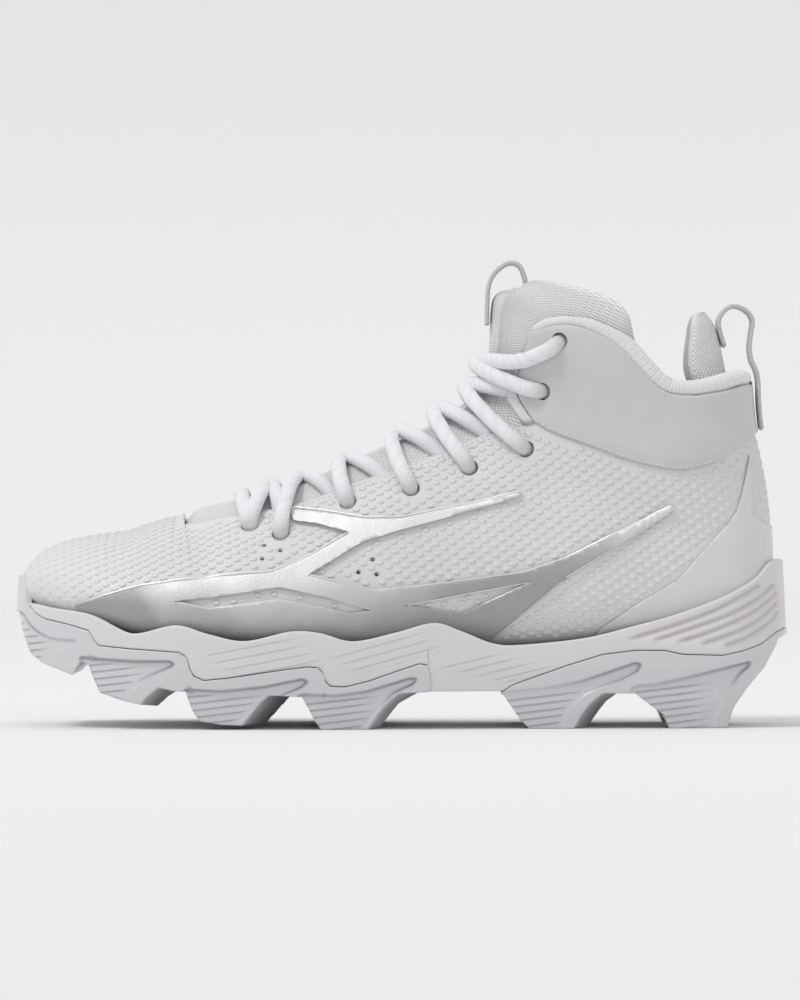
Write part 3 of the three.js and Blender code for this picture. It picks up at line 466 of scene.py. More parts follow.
# %% Shader helpers
class Tree:
    """Short words for building a node tree."""

    def __init__(self, tree):
        self.tree = tree

    def add(self, kind, inputs=None, **settings):
        node = self.tree.nodes.new(kind)
        for key, value in settings.items():
            setattr(node, key, value)
        for key, value in (inputs or {}).items():
            if isinstance(value, bpy.types.NodeSocket):
                self.tree.links.new(value, node.inputs[key])
            else:
                node.inputs[key].default_value = value
        return node

    def math(self, operation, *values, clamp=False):
        node = self.add("ShaderNodeMath", dict(enumerate(values)), operation=operation, use_clamp=clamp)
        return node.outputs[0]

    def ramp(self, value, low, high, to_low=0.0, to_high=1.0):
        inputs = {"Value": value, "From Min": low, "From Max": high, "To Min": to_low, "To Max": to_high}
        return self.add("ShaderNodeMapRange", inputs, interpolation_type="SMOOTHSTEP").outputs[0]

    def noise(self, vector, scale, detail=3.0, rough=0.5):
        inputs = {"Vector": vector, "Scale": scale, "Detail": detail, "Roughness": rough}
        return self.add("ShaderNodeTexNoise", inputs).outputs[0]

    def object_place(self):
        return self.add("ShaderNodeTexCoord").outputs["Object"]

    def cloth_place(self):
        return self.add("ShaderNodeUVMap", uv_map="cloth").outputs[0]

    def blend(self, share, first, second):
        inputs = {0: share, 6: first, 7: second}
        return self.add("ShaderNodeMix", inputs, data_type="RGBA").outputs[2]

    def parts(self, vector):
        return self.add("ShaderNodeSeparateXYZ", {0: vector}).outputs

    def grouped(self, tree, output=0, **inputs):
        return self.add("ShaderNodeGroup", inputs, node_tree=tree).outputs[output]

    def bump(self, height, depth, normal=None, strength=1.0):
        inputs = {"Height": height, "Distance": depth / 1000, "Strength": strength}
        if normal is not None:
            inputs["Normal"] = normal
        return self.add("ShaderNodeBump", inputs).outputs[0]


def group(name, inputs, outputs, build):
    tree = bpy.data.node_groups.new(name, "ShaderNodeTree")
    for label, kind in inputs:
        tree.interface.new_socket(label, in_out="INPUT", socket_type=kind)
    for label, kind in outputs:
        tree.interface.new_socket(label, in_out="OUTPUT", socket_type=kind)
    words = Tree(tree)
    entry = words.add("NodeGroupInput")
    leave = words.add("NodeGroupOutput")
    for label, value in build(words, entry.outputs).items():
        tree.links.new(value, leave.inputs[label])
    return tree


def build_weave(words, given):
    """Slanted cells of an open knit, from a map in millimetres."""
    along_map, across_map, _ = words.parts(given["Map"])
    u = words.math("DIVIDE", along_map, given["Pitch"])
    v = words.math("DIVIDE", across_map, given["Pitch"])
    wave_a = words.math("SINE", words.math("MULTIPLY", words.math("ADD", u, v), math.pi))
    wave_b = words.math("SINE", words.math("MULTIPLY", words.math("SUBTRACT", u, v), math.pi))
    height = words.math("ABSOLUTE", words.math("MULTIPLY", wave_a, wave_b))
    return {"Height": height, "Hole": words.ramp(height, 0.32, 0.05)}


def build_grain(words, given):
    """Fine pebbles with soft valleys between them."""
    inputs = {"Vector": given["Place"], "Scale": given["Scale"]}
    cells = words.add("ShaderNodeTexVoronoi", inputs, feature="SMOOTH_F1")
    fine = words.noise(given["Place"], words.math("MULTIPLY", given["Scale"], 2.3), 4.0, 0.6)
    height = words.math("ADD", words.math("MULTIPLY", cells.outputs["Distance"], -0.7), fine)
    return {"Height": height}


def build_threads(words, given):
    """Lines across a map, as in webbing and the ribs of a rubber wall."""
    cycle = words.math("FRACT", given["Phase"])
    away = words.math("ABSOLUTE", words.math("SUBTRACT", cycle, 0.5))
    return {"Groove": words.ramp(away, given["Width"], 0.0)}


VECTOR, FLOAT = "NodeSocketVector", "NodeSocketFloat"
weave_group = group(
    "open_knit", [("Map", VECTOR), ("Pitch", FLOAT)], [("Height", FLOAT), ("Hole", FLOAT)], build_weave)
grain_group = group(
    "pebble_grain", [("Place", VECTOR), ("Scale", FLOAT)], [("Height", FLOAT)], build_grain)
threads_group = group(
    "line_grooves", [("Phase", FLOAT), ("Width", FLOAT)], [("Groove", FLOAT)], build_threads)


def material(name, build, **sockets):
    """A material whose shader takes constants from sockets and the rest from build."""
    made = bpy.data.materials.new(name)
    made.use_nodes = True
    shader = made.node_tree.nodes["Principled BSDF"]
    for label, value in sockets.items():
        shader.inputs[label.replace("_", " ")].default_value = value
    for label, value in build(Tree(made.node_tree)).items():
        made.node_tree.links.new(value, shader.inputs[label])
    return made


def shade(value, warm=0.0):
    """A light neutral colour, warmed or cooled a little."""
    return (value * (1 + warm), value, value * (1 - warm), 1)


print("shader groups:", [tree.name for tree in bpy.data.node_groups])

# %% [markdown]
# ## The skins of the upper
# The quarter is a moulded film over textile: matt, very pale, with a fine tooth between its nubs.
# The foil is a metal film pressed over the same textile, so its pebbles catch the light one by one. Its
# lower parts and its nose carry painted reflection and shade.

# %% Skin materials
def moulded_skin(words):
    place = words.object_place()
    tooth = words.grouped(grain_group, Place=place, Scale=900.0)
    drift = words.noise(place, 14.0, 4.0)
    colour = words.blend(words.ramp(drift, 0.35, 0.7), shade(0.7, -0.004), shade(0.74, 0.0))
    rough = words.ramp(words.noise(place, 60.0), 0.3, 0.7, 0.46, 0.6)
    return {"Base Color": colour, "Roughness": rough, "Normal": words.bump(tooth, 0.05, strength=0.5)}


def foil_skin(words):
    place = words.object_place()
    pebbles = words.grouped(grain_group, Place=place, Scale=1300.0)
    x, _, height = words.parts(place)
    # painted reflection and shade: the foil's colour darkens on its lower parts and at its nose, standing in
    # for dark surroundings mirrored by the metal
    drift = words.math("MULTIPLY", words.noise(place, 35.0), 0.016)
    fall = words.ramp(x, -0.03, 0.05, 0.0, 0.022)
    level = words.math("SUBTRACT", words.math("ADD", height, drift), fall)
    low = words.ramp(level, 0.069, 0.041)
    painted_nose_reflection = words.ramp(x, -0.088, -0.108)
    dark = words.math("ADD", low, painted_nose_reflection, clamp=True)
    colour = words.blend(dark, (0.78, 0.79, 0.8, 1), (0.4, 0.405, 0.41, 1))
    rough = words.ramp(words.noise(place, 150.0), 0.3, 0.7, 0.48, 0.6)
    return {"Base Color": colour, "Roughness": rough, "Normal": words.bump(pebbles, 0.16, strength=0.9)}


def panel_skin(words):
    place = words.object_place()
    grain = words.grouped(grain_group, Place=place, Scale=420.0)
    drift = words.noise(place, 28.0, 5.0, 0.6)
    colour = words.blend(words.ramp(drift, 0.3, 0.7), shade(0.58, -0.004), shade(0.63, -0.004))
    waves = words.bump(drift, 0.5, strength=0.25)
    return {"Base Color": colour, "Normal": words.bump(grain, 0.06, waves, 0.6)}


def film_skin(words):
    place = words.object_place()
    drift = words.noise(place, 40.0, 3.0)
    colour = words.blend(words.ramp(drift, 0.3, 0.7), shade(0.69, -0.006), shade(0.73, -0.004))
    return {"Base Color": colour, "Normal": words.bump(drift, 0.25, strength=0.3)}


def lining(words):
    place = words.object_place()
    weave = words.add("ShaderNodeTexVoronoi", {"Vector": place, "Scale": 700.0}).outputs["Distance"]
    colour = words.blend(words.ramp(weave, 0.0, 0.7), shade(0.62), shade(0.72))
    return {"Base Color": colour, "Normal": words.bump(weave, 0.2, strength=0.6)}


def edge_skin(words):
    drift = words.noise(words.object_place(), 300.0)
    return {"Base Color": words.blend(drift, (0.8, 0.83, 0.85, 1), (0.92, 0.94, 0.95, 1)),
            "Normal": words.bump(drift, 0.05)}


skin_material = material("moulded_skin", moulded_skin, Specular_IOR_Level=0.4)
foil_material = material("metal_foil", foil_skin, Metallic=0.7)
edge_material = material("foil_edge", edge_skin, Metallic=0.75, Roughness=0.3)
panel_material = material("smooth_panel", panel_skin, Roughness=0.52, Sheen_Weight=0.1, Sheen_Roughness=0.5)
film_material = material("heel_film", film_skin, Roughness=0.4, Coat_Weight=0.2, Coat_Roughness=0.3)
lining_material = material("textile_lining", lining, Roughness=0.9, Sheen_Weight=0.3)

# %% [markdown]
# ## The knits, the webbing and the lace
# Spacer mesh has rows of slanted cells, a collar tape is ribbed, webbing and lace are woven ribs.
# All of them read the map of their own panel, so the rows follow the panel's shape.

# %% Fabric materials
def knit_of(pitch, depth, light, dark):
    def build(words):
        inputs = {"Map": words.cloth_place(), "Pitch": pitch}
        weave = words.add("ShaderNodeGroup", inputs, node_tree=weave_group)
        fuzz = words.noise(words.object_place(), 1800.0, 2.0)
        height = words.math("ADD", weave.outputs["Height"], words.math("MULTIPLY", fuzz, 0.25))
        colour = words.blend(weave.outputs["Hole"], light, dark)
        return {"Base Color": colour, "Normal": words.bump(height, depth, strength=0.8)}
    return build


def rows_of(pitch, depth, light, dark, slant=0.0):
    def build(words):
        along_map, across_map, _ = words.parts(words.cloth_place())
        lean = words.math("MULTIPLY", across_map, slant)
        phase = words.math("DIVIDE", words.math("ADD", along_map, lean), pitch)
        rows = words.grouped(threads_group, Phase=phase, Width=0.35)
        cross = words.math("DIVIDE", across_map, pitch * 0.8)
        threads = words.grouped(threads_group, Phase=cross, Width=0.3)
        height = words.math("ADD", rows, words.math("MULTIPLY", threads, 0.5))
        colour = words.blend(words.math("MULTIPLY", height, 0.5), light, dark)
        flat = words.math("SUBTRACT", 1.0, height)
        return {"Base Color": colour, "Normal": words.bump(flat, depth, strength=0.7)}
    return build


mesh_material = material(
    "spacer_mesh", knit_of(1.9, 0.5, (0.91, 0.922, 0.918, 1), (0.57, 0.595, 0.59, 1)),
    Roughness=0.85, Sheen_Weight=0.3)
tape_material = material(
    "tape_mesh", knit_of(1.1, 0.3, (0.84, 0.86, 0.85, 1), (0.58, 0.61, 0.6, 1)),
    Roughness=0.85, Sheen_Weight=0.2)
binding_material = material(
    "ribbed_knit", rows_of(1.0, 0.25, (0.89, 0.9, 0.9, 1), (0.7, 0.715, 0.715, 1)),
    Roughness=0.85, Sheen_Weight=0.3)
webbing_material = material(
    "webbing", rows_of(0.9, 0.2, (0.67, 0.67, 0.69, 1), (0.53, 0.53, 0.55, 1)),
    Roughness=0.75, Sheen_Weight=0.2)
lace_material = material(
    "lace_weave", rows_of(1.0, 0.22, (0.86, 0.855, 0.885, 1), (0.76, 0.755, 0.79, 1), 0.12), Roughness=0.8,
    Sheen_Weight=0.25)


def thread(words):
    return {"Base Color": words.blend(words.noise(words.object_place(), 900.0), shade(0.7), shade(0.8))}


thread_material = material("thread", thread, Roughness=0.6)

# %% [markdown]
# ## The sole's plastics
# The midsole is a warm white foam with a soft gloss, the plates are a cooler, harder plastic.
# Their fine lines are grooves cut by a map that the wall carries, so they stay sharp at any size.

# %% Sole materials
def sole_skin(light, dark, depth):
    def build(words):
        place = words.object_place()
        lines = words.add("ShaderNodeUVMap", uv_map="lines").outputs[0]
        phase, depth_share, _ = words.parts(lines)
        groove = words.grouped(threads_group, Phase=phase, Width=0.2)
        amount = words.math("MULTIPLY", groove, depth_share)
        skin_noise = words.noise(place, 500.0, 3.0)
        height = words.math("SUBTRACT", words.math("MULTIPLY", skin_noise, 0.06), amount)
        shadow = words.add("ShaderNodeAttribute", attribute_name="shadow").outputs["Fac"]
        shadow = words.math("ADD", words.math("MULTIPLY", shadow, 0.9), words.math("MULTIPLY", amount, 0.45))
        level = words.parts(place)[2]
        shadow = words.math("ADD", shadow, words.ramp(level, 0.018, 0.0, 0.0, 0.16), clamp=True)
        colour = words.blend(shadow, light, dark)
        return {"Base Color": colour, "Normal": words.bump(height, depth, strength=0.9)}
    return build


midsole_material = material(
    "midsole_foam", sole_skin((0.725, 0.7, 0.707, 1), (0.5, 0.46, 0.47, 1), 0.6),
    Roughness=0.42, Subsurface_Weight=0.05, Coat_Weight=0.1, Coat_Roughness=0.35)
plate_material = material(
    "sole_plate", sole_skin((0.65, 0.64, 0.665, 1), (0.3, 0.28, 0.33, 1), 0.8),
    Roughness=0.3, Coat_Weight=0.2, Coat_Roughness=0.2)
print("materials:", len(bpy.data.materials))

# %% [markdown]
# ## The upper
# One skin from toe to heel, open at throat and collar. Its upper edge is read off the throat and
# collar lines: each section of the last crosses them once.

# %% Upper
def on_last(line, count=None):
    points = to_mm(line) if count is None else through(to_mm(line), count)
    place, turn = find_on_last(points[:, 0], points[:, 1])
    return np.column_stack([place, turn])


opening = on_last(THROAT_LINE + COLLAR_LOW_LINE)
opening_place = np.maximum.accumulate(opening[:, 0])
THROAT_START = opening_place[0]
UPPER_END = 24.05


def edge_turn(place):
    return np.where(place < THROAT_START, 0, np.interp(place, opening_place, opening[:, 1]))


def upper_surface(side):
    stops = np.unique(np.r_[np.linspace(0, UPPER_END, 150), np.linspace(THROAT_START - 0.1, 7.4, 16)])

    def surface(u, v):
        place = np.interp(u, np.linspace(0, 1, len(stops)), stops)
        start = edge_turn(place)
        still = np.maximum(1.35, start + 0.2 * (math.pi - start))
        turn = np.interp(v, [0, 0.3], [0, 1]) * (still - start) + start
        turn = np.where(v > 0.3, still + (math.pi - still) * (v - 0.3) / 0.7, turn)
        return skin(place, side * turn, 0)
    return surface, len(stops) - 1


pair = [upper_surface(side) for side in (1, -1)]
UPPER_ROWS = 84
upper = joined("upper_skin", [grid(count, UPPER_ROWS, surface) for surface, count in pair], merge=3e-5)
thickened(upper, WALL)


def punch(places, radius, name):
    """Round bars square to the skin, ready to cut holes."""
    bm = bmesh.new()
    for x, z in places:
        for side in (1, -1):
            place, turn = find_on_last(along(x), above(z))
            centre = to_scene(last_point(place, side * turn))
            normal = Vector(last_normal(place, side * turn))
            turned = Vector((0, 0, 1)).rotation_difference(normal).to_matrix().to_4x4()
            turned.translation = Vector(centre)
            bmesh.ops.create_cone(
                bm, cap_ends=True, segments=20, radius1=radius / 1000, radius2=radius / 1000,
                depth=0.012, matrix=turned)
    mesh = bpy.data.meshes.new(name)
    bm.to_mesh(mesh)
    bm.free()
    piece = bpy.data.objects.new(name, mesh)
    scene.collection.objects.link(piece)
    return piece


cut(upper, punch(EYELETS, EYELET_RADIUS, "eyelet_bars"))
cut(upper, punch(PINHOLES, 0.85, "pinhole_bars"))
finished(upper, "upper", "nubbed_skin", skin_material)

# %% [markdown]
# ## The foil wings
# The foil is cut out of a thin skin that lies on the upper, the way a real one is die cut.
# Its edge is a raised bead that catches the light.

# %% Foil
FOIL_TOP = [
    [7.6, 29.4], [8.6, 30.3], [11.8, 32.1], [17.1, 34.9], [20.5, 35.8], [27, 37.2], [33.3, 38.1],
    [36.2, 40.3],
    [38.4, 42.2], [43.5, 47.8], [39.7, 49.9], [36.1, 50.9], [36.1, 53.6], [40.3, 52.8], [45.5, 51.2],
    [50.1, 51.3], [55.4, 53.6], [60.2, 55.5], [65.4, 57.8], [65.3, 56.7], [60.2, 54], [55, 51], [48.9, 47.9],
    [44.9, 45.4], [43.5, 43.7], [38.1, 37.5], [46.3, 33.7], [54.2, 35.2], [65.4, 38], [71.2, 41.7],
    [81.5, 51.5], [84.7, 54.6], [84.8, 53.6], [81.5, 49.2], [71.2, 37.2], [61.5, 26.5],
]
FOIL_WINDOWS = [
    [[21.1, 31.1], [28, 32.7], [34.5, 34.6], [39.9, 32.4], [46.7, 29], [43.3, 28.1], [39.9, 29.6],
     [34.5, 31.5], [25.7, 29.3]],
    [[50.4, 30.1], [57.5, 32.7], [66.8, 35.9], [57.6, 27.9]],
]


def rounded(line, radius, steps=4):
    """A closed outline in millimetres with its corners rounded."""
    points = np.asarray(line)
    made = []
    for before, here, after in zip(np.roll(points, 1, axis=0), points, np.roll(points, -1, axis=0)):
        back, on = before - here, after - here
        reach = min(radius, 0.45 * np.linalg.norm(back), 0.45 * np.linalg.norm(on))
        start, end = here + back / np.linalg.norm(back) * reach, here + on / np.linalg.norm(on) * reach
        for t in np.linspace(0, 1, steps):
            made.append((1 - t) ** 2 * start + 2 * t * (1 - t) * here + t * t * end)
    return np.array(made)


rim_curve = through(rim, 400)
under_foil = rim_curve[(rim_curve[:, 0] > along(8.0)) & (rim_curve[:, 0] < along(60.5))]
foil_outline = np.vstack([rounded(to_mm(FOIL_TOP), 1.2)[4:-4], under_foil[::-6] - [0, 3.0]])
foil_windows = [rounded(to_mm(window), 1.0) for window in FOIL_WINDOWS]


def shell(name, places, turns, columns, rows, outer, inner):
    """A closed thin shell over a part of the last, between two offsets."""
    def surface(u, v):
        place = places[0] + (places[1] - places[0]) * u
        return skin(place, turns[0] + (turns[1] - turns[0]) * v, outer)
    piece = joined(name, [grid(columns, rows, surface)])
    return thickened(piece, outer - inner)


def frames_along(points, ups):
    """Directions across and up along a path, kept close to the given ups."""
    run = np.gradient(points, axis=0)
    run /= np.linalg.norm(run, axis=1, keepdims=True)
    sideways = np.cross(run, ups)
    sideways /= np.linalg.norm(sideways, axis=1, keepdims=True)
    return sideways, np.cross(sideways, run)


def tube_mesh(points, wide, high, sides, ups=None):
    """A cord of oval section along points, its ends drawn in."""
    if ups is None:
        ups = np.tile([0.0, 0.3, 1.0], (len(points), 1))
    aside, up = frames_along(points, ups)
    steps = np.r_[0, np.cumsum(np.linalg.norm(np.diff(points, axis=0), axis=1))]
    wide, high = np.broadcast_to(wide, len(points)), np.broadcast_to(high, len(points))

    def surface(u, v):
        i = np.rint(u * (len(points) - 1)).astype(int)
        angle = 2 * math.pi * v
        pull = np.where((i == 0) | (i == len(points) - 1), 0.05, 1)
        return (points[i] + aside[i] * (np.cos(angle) * wide[i] * pull / 2)[:, None]
                + up[i] * (np.sin(angle) * high[i] * pull / 2)[:, None])
    around = math.pi * (float(wide.mean()) + float(high.mean())) / 2
    return grid(len(points) - 1, sides, surface, (steps[-1], around))


def welt_mesh(line, side, thick, offset):
    """A thin welt laid on the skin along a line seen from the side."""
    steps = np.r_[0, np.cumsum(np.linalg.norm(np.diff(line, axis=0), axis=1))]
    spread_out = np.linspace(0, steps[-1], int(steps[-1] / 0.9))
    fine = np.column_stack([np.interp(spread_out, steps, line[:, k]) for k in range(2)])
    place, turn = find_on_last(fine[:, 0], fine[:, 1])
    return tube_mesh(skin(place, side * turn, offset), thick, thick, 6, last_normal(place, side * turn))


for side, word in ((1, "lateral"), (-1, "medial")):
    foil = shell("foil_" + word, (0.8, 19.5), (side * 0.02, side * 3.0), 190, 96, GAP + FOIL, GAP)
    cut(foil, prism("foil_tool", foil_outline, holes=foil_windows), "INTERSECT")
    finished(foil, "overlay_" + word, "foil", foil_material)
    lines = [rounded(to_mm(FOIL_TOP), 1.2)[4:-4], *(np.vstack([ring, ring[:1]]) for ring in foil_windows)]
    beads = [welt_mesh(line, side, 0.8, GAP + FOIL + 0.05) for line in lines]
    welt = joined("foil_edge_" + word, beads, merge=1e-6)
    finished(welt, None, "foil", edge_material)

# %% [markdown]
# ## Patches of the last
# A panel with four sides is stretched between its four edge lines, then puffed: its outer and inner
# faces meet along the edge and stand apart in the middle, as a stitched pad does.

# %% Patch helpers
def spread(line, count=80):
    """A line as a function of a share from 0 to 1."""
    line = np.asarray(line, float)
    steps = np.r_[0, np.cumsum(np.linalg.norm(np.diff(line, axis=0), axis=1))]
    steps /= steps[-1]
    return lambda t: np.column_stack([np.interp(t, steps, line[:, k]) for k in range(line.shape[1])])


def patch(bottom, top, left, right):
    """A surface stretched between four lines, bottom and top running from left to right."""
    def at(u, v):
        low, high, first, last = bottom(u), top(u), left(v), right(v)
        u, v = u[:, None], v[:, None]
        corners = ((1 - u) * (1 - v) * left(np.zeros(1)) + u * (1 - v) * right(np.zeros(1))
                   + (1 - u) * v * left(np.ones(1)) + u * v * right(np.ones(1)))
        return (1 - v) * low + v * high + (1 - u) * first + u * last - corners
    return at


def puffed(name, place_of, size, columns, rows, outer, inner, edge=2.5, swell=0.0, lean=None):
    """A pad over a patch: place_of gives place and turn, size is its width and height in millimetres.
    lean moves both faces out, by a function of the spot and the share of the height."""
    seam = (outer + inner) / 2

    def face(offset, bulge):
        def at(u, v):
            spot = place_of(u, v)
            near = np.minimum(np.minimum(u, 1 - u) * size[0], np.minimum(v, 1 - v) * size[1])
            lift = np.sqrt(np.clip(1 - (1 - np.clip(near / edge, 0, 1)) ** 2, 0, 1))
            high = seam + (offset - seam) * lift + bulge * smooth_step(0, 4 * edge, near)
            if lean:
                high = high + lean(spot, v)
            return skin(spot[:, 0], spot[:, 1], high)
        return at
    meshes = [grid(columns, rows, face(outer, swell), size), grid(columns, rows, face(inner, 0), size)]
    return joined(name, meshes)


def eased(t, hard=0.75):
    """Shares that crowd towards both ends, so that a rounded edge gets its points."""
    return t - hard * np.sin(2 * math.pi * t) / (2 * math.pi)


print("patch helpers ready")

# %% [markdown]
# ## The ankle cuff and its tape
# The cuff is a smooth synthetic panel, seamed to the quarter, from the throat round the heel.

# %% Cuff
cuff_front = spread(on_last(CUFF_FRONT_LINE[::-1], 60))
cuff_top = spread(on_last(COLLAR_LOW_LINE, 90))
cuff_low = spread(on_last(CUFF_LOW_LINE, 90))


def shut(line, side=1):
    """The last point of a line that runs to the back of the heel is put on the heel line."""
    def at(t):
        made = line(t)
        made[:, 1] = made[:, 1] + (math.pi - line(np.ones(1))[0, 1]) * smooth_step(0.9, 1, t)
        return made
    return at


cuff_top, cuff_low = shut(cuff_top), shut(cuff_low)
heel_back = spread([cuff_low(np.ones(1))[0], cuff_top(np.ones(1))[0]])
cuff_half = patch(cuff_low, cuff_top, cuff_front, heel_back)


def cuff_place(u, v):
    u = eased(u, 0.6)
    half = 1 - np.abs(2 * u - 1)
    spot = cuff_half(half, eased(v, 0.6) * 0.985 + 0.004)
    spot[:, 1] = np.where(u < 0.5, spot[:, 1], 2 * math.pi - spot[:, 1])
    return spot


cuff = puffed("cuff_panel", cuff_place, (250, 52), 230, 60, GAP + CUFF, GAP, edge=1.6, swell=0.5)
cut(cuff, punch(EYELETS[6:], EYELET_RADIUS, "cuff_bars"))
finished(cuff, "ankle_cuff", "smooth_panel", panel_material)

# %% Throat tapes
tape_front = spread(on_last(THROAT_LINE[-6:][::-1], 40))
tape_back = spread(on_last(CUFF_FRONT_LINE, 40))
for side, word in ((1, "lateral"), (-1, "medial")):
    def tape_place(u, v, side=side):
        front, back = tape_front(v), tape_back(v)
        spot = front + (back - front) * (0.02 + 0.94 * u)[:, None]
        spot[:, 1] *= side
        return spot
    tape = puffed("tape_" + word, tape_place, (4.5, 34), 14, 70, GAP + FILM + 0.2, GAP, edge=0.8)
    finished(tape, "throat_tape_" + word, "knit", tape_material)

# %% [markdown]
# ## The tongue
# The tongue is a padded mesh sheet under the laces. It wraps the ankle and stands above the collar.

# %% Tongue
TONGUE_SIDE = [
    [22.5, 44], [31, 47], [42, 52.5], [52, 58.5], [61.5, 66], [68, 69], [74.5, 76], [79, 85], [79.9, 94.6],
]
TONGUE_TOP = [
    [62.8, 109.1], [64.2, 110.7], [66.5, 110.9], [69.4, 109.4], [73.4, 107.4], [76, 105.6], [78, 103.5],
    [79.2, 100.4], [79.9, 94.6],
]
TONGUE_RISE, TONGUE_BACK = 2.7, 7.5
tongue_side = spread(on_last(TONGUE_SIDE, 90))
tongue_top = on_last(TONGUE_TOP, 60)
tongue_top[0, 1] = 0
tongue_top = spread(tongue_top)
ridge_end = tongue_top(np.zeros(1))[0]
ridge = spread([[tongue_side(np.zeros(1))[0, 0], 0], [ridge_end[0], 0]])
tongue_low = spread([[tongue_side(np.zeros(1))[0, 0], 0], tongue_side(np.zeros(1))[0]])
tongue_half = patch(tongue_low, tongue_top, ridge, tongue_side)


def tongue_place(u, v):
    half = np.abs(2 * u - 1)
    spot = tongue_half(half, v)
    spot[:, 1] *= np.where(u < 0.5, 1, -1)
    return spot


def tongue_lean(spot, v):
    """The tongue rises in the gap of the throat and leans back at its top."""
    gap = edge_turn(spot[:, 0]) - np.abs(spot[:, 1])
    below_ankle = smooth_step(13, 10.5, spot[:, 0]) * smooth_step(0, 0.03, v)
    rise = TONGUE_RISE * smooth_step(0.04, 0.34, gap) * below_ankle
    back = TONGUE_BACK * smooth_step(0.84, 1, v) ** 2 * np.cos(spot[:, 1]).clip(0) ** 2
    return rise - back


tongue = puffed(
    "tongue_pad", tongue_place, (110, 200), 100, 170, -WALL - GAP, -WALL - GAP - TONGUE, edge=3.0,
    lean=tongue_lean)
finished(tongue, "tongue", "knit", mesh_material)

# %% [markdown]
# ## The collar binding
# A ribbed knit roll closes the collar. It is thin at the front and swells to a soft roll at the heel.

# %% Binding
roll_top = through(to_mm(COLLAR_TOP_LINE), 120)
roll_low = through(to_mm(COLLAR_LOW_LINE), 120)
roll_middle = (roll_top + roll_low) / 2
roll_height = np.linalg.norm(roll_top - roll_low, axis=1)
roll_place, roll_turn = find_on_last(roll_middle[:, 0], roll_middle[:, 1])
roll_turn = roll_turn + (math.pi - roll_turn[-1]) * smooth_step(0.93, 1, np.linspace(0, 1, 120))
full_place = np.r_[roll_place, roll_place[-2::-1]]
full_turn = np.r_[roll_turn, 2 * math.pi - roll_turn[-2::-1]]
full_height = np.r_[roll_height, roll_height[-2::-1]]
full_x = np.r_[roll_middle[:, 0], roll_middle[-2::-1, 0]]
thick = 3.2 + 3.4 * smooth_step(along(78), along(84), full_x)
outset = 1.3 - thick / 2
RIB_COUNT = 150
dense = np.linspace(0, 1, 1200)
line = np.linspace(0, 1, len(full_place))
centre = last_point(full_place, full_turn) + last_normal(full_place, full_turn) * outset[:, None]
centre = np.column_stack([np.interp(dense, line, centre[:, k]) for k in range(3)])
ups = last_normal(full_place, full_turn)
ups = np.column_stack([np.interp(dense, line, ups[:, k]) for k in range(3)])
rib = 1 - 0.05 * np.abs(np.cos(dense * math.pi * RIB_COUNT))
binding = joined("collar_roll", [tube_mesh(
    centre, np.interp(dense, line, np.maximum(full_height + 1.5, 3.2)) * rib,
    np.interp(dense, line, thick) * rib, 20, ups)], merge=1e-6)
finished(binding, "collar_binding", "knit", binding_material)

# %% [markdown]
# ## The heel film
# A smooth film wraps the counter of the heel and runs to a point below the cuff.

# %% Heel film
FILM_OUTLINE = [
    [101, 50], [97.7, 49.4], [96.3, 51], [95.1, 52.3], [95.2, 61.4], [94.9, 66.9], [94.3, 61.7],
    [93.7, 56.6],
    [93, 52.8], [92, 50.1], [89.7, 45.5], [87.2, 40.1], [85.3, 36.2], [79.8, 29.9], [75.7, 24.4],
]
film_rim = rim_curve[rim_curve[:, 0] > along(74)][::6] - [0, 3.0]
film_outline = np.vstack([to_mm(FILM_OUTLINE), film_rim, [[along(104), above(41)]]])
film = shell("heel_film", (11, 23.6), (1.2, 2 * math.pi - 1.2), 110, 150, GAP + FILM, GAP)
cut(film, prism("film_tool", film_outline), "INTERSECT")
finished(film, "heel_overlay", "film", film_material)

# %% [markdown]
# ## The sole
# The walls of the sole are one height field on a smooth outline. Steps, flutes and stud panels are
# reliefs in it, so they follow the curve of the wall without any cutting.

# %% Sole outline and reliefs
SOLE_OUTLINE = np.array([
    # outer, inner half widths from toe to heel
    [-7.7, 7.7], [16.8, 27.4], [32.2, 38], [44.2, 46], [51, 48], [51.4, 45], [46.9, 39.2], [41.6, 36.2],
    [39.4, 36.7], [37, 36.1], [31.3, 30.8], [18.3, 18.1], [0, 0],
])
TOE_SHIFT = 7.7
SOLE_WALL = np.array([[-4, -4], [8, -2], [15, -0.4], [22, 0], [30, -0.4], [44, -1.6]])


def outline_at(angle, side):
    angle = np.clip(angle, 0, 180)
    row = row_at(SOLE_OUTLINE, angle / 180 * (len(SOLE_OUTLINE) - 1))
    y = np.where(side < 0, -row[..., 0], row[..., 1])
    return np.stack([along(50 * (1 - np.cos(np.radians(angle)))), across(y)], axis=-1)


def sole_point(angle, side, out):
    """The sole outline at an angle from the toe, moved out square to the outline."""
    run = outline_at(angle + 1, side) - outline_at(angle - 1, side)
    normal = np.stack([run[..., 1], -run[..., 0]], axis=-1) * np.where(side < 0, 1, -1)[..., None]
    normal /= np.linalg.norm(normal, axis=-1, keepdims=True)
    normal = np.where((angle <= 0)[..., None], [-1.0, 0.0], normal)
    normal = np.where((angle >= 180)[..., None], [1.0, 0.0], normal)
    return outline_at(angle, side) + normal * np.asarray(out)[..., None]


def toe_side(x):
    """How far the middle of the sole lies to the inner side, most at the toe."""
    return across(TOE_SHIFT * (1 - x / along(50)).clip(0))


def wall_out(z):
    return np.interp(z, above(SOLE_WALL[:, 0]), SOLE_WALL[:, 1])


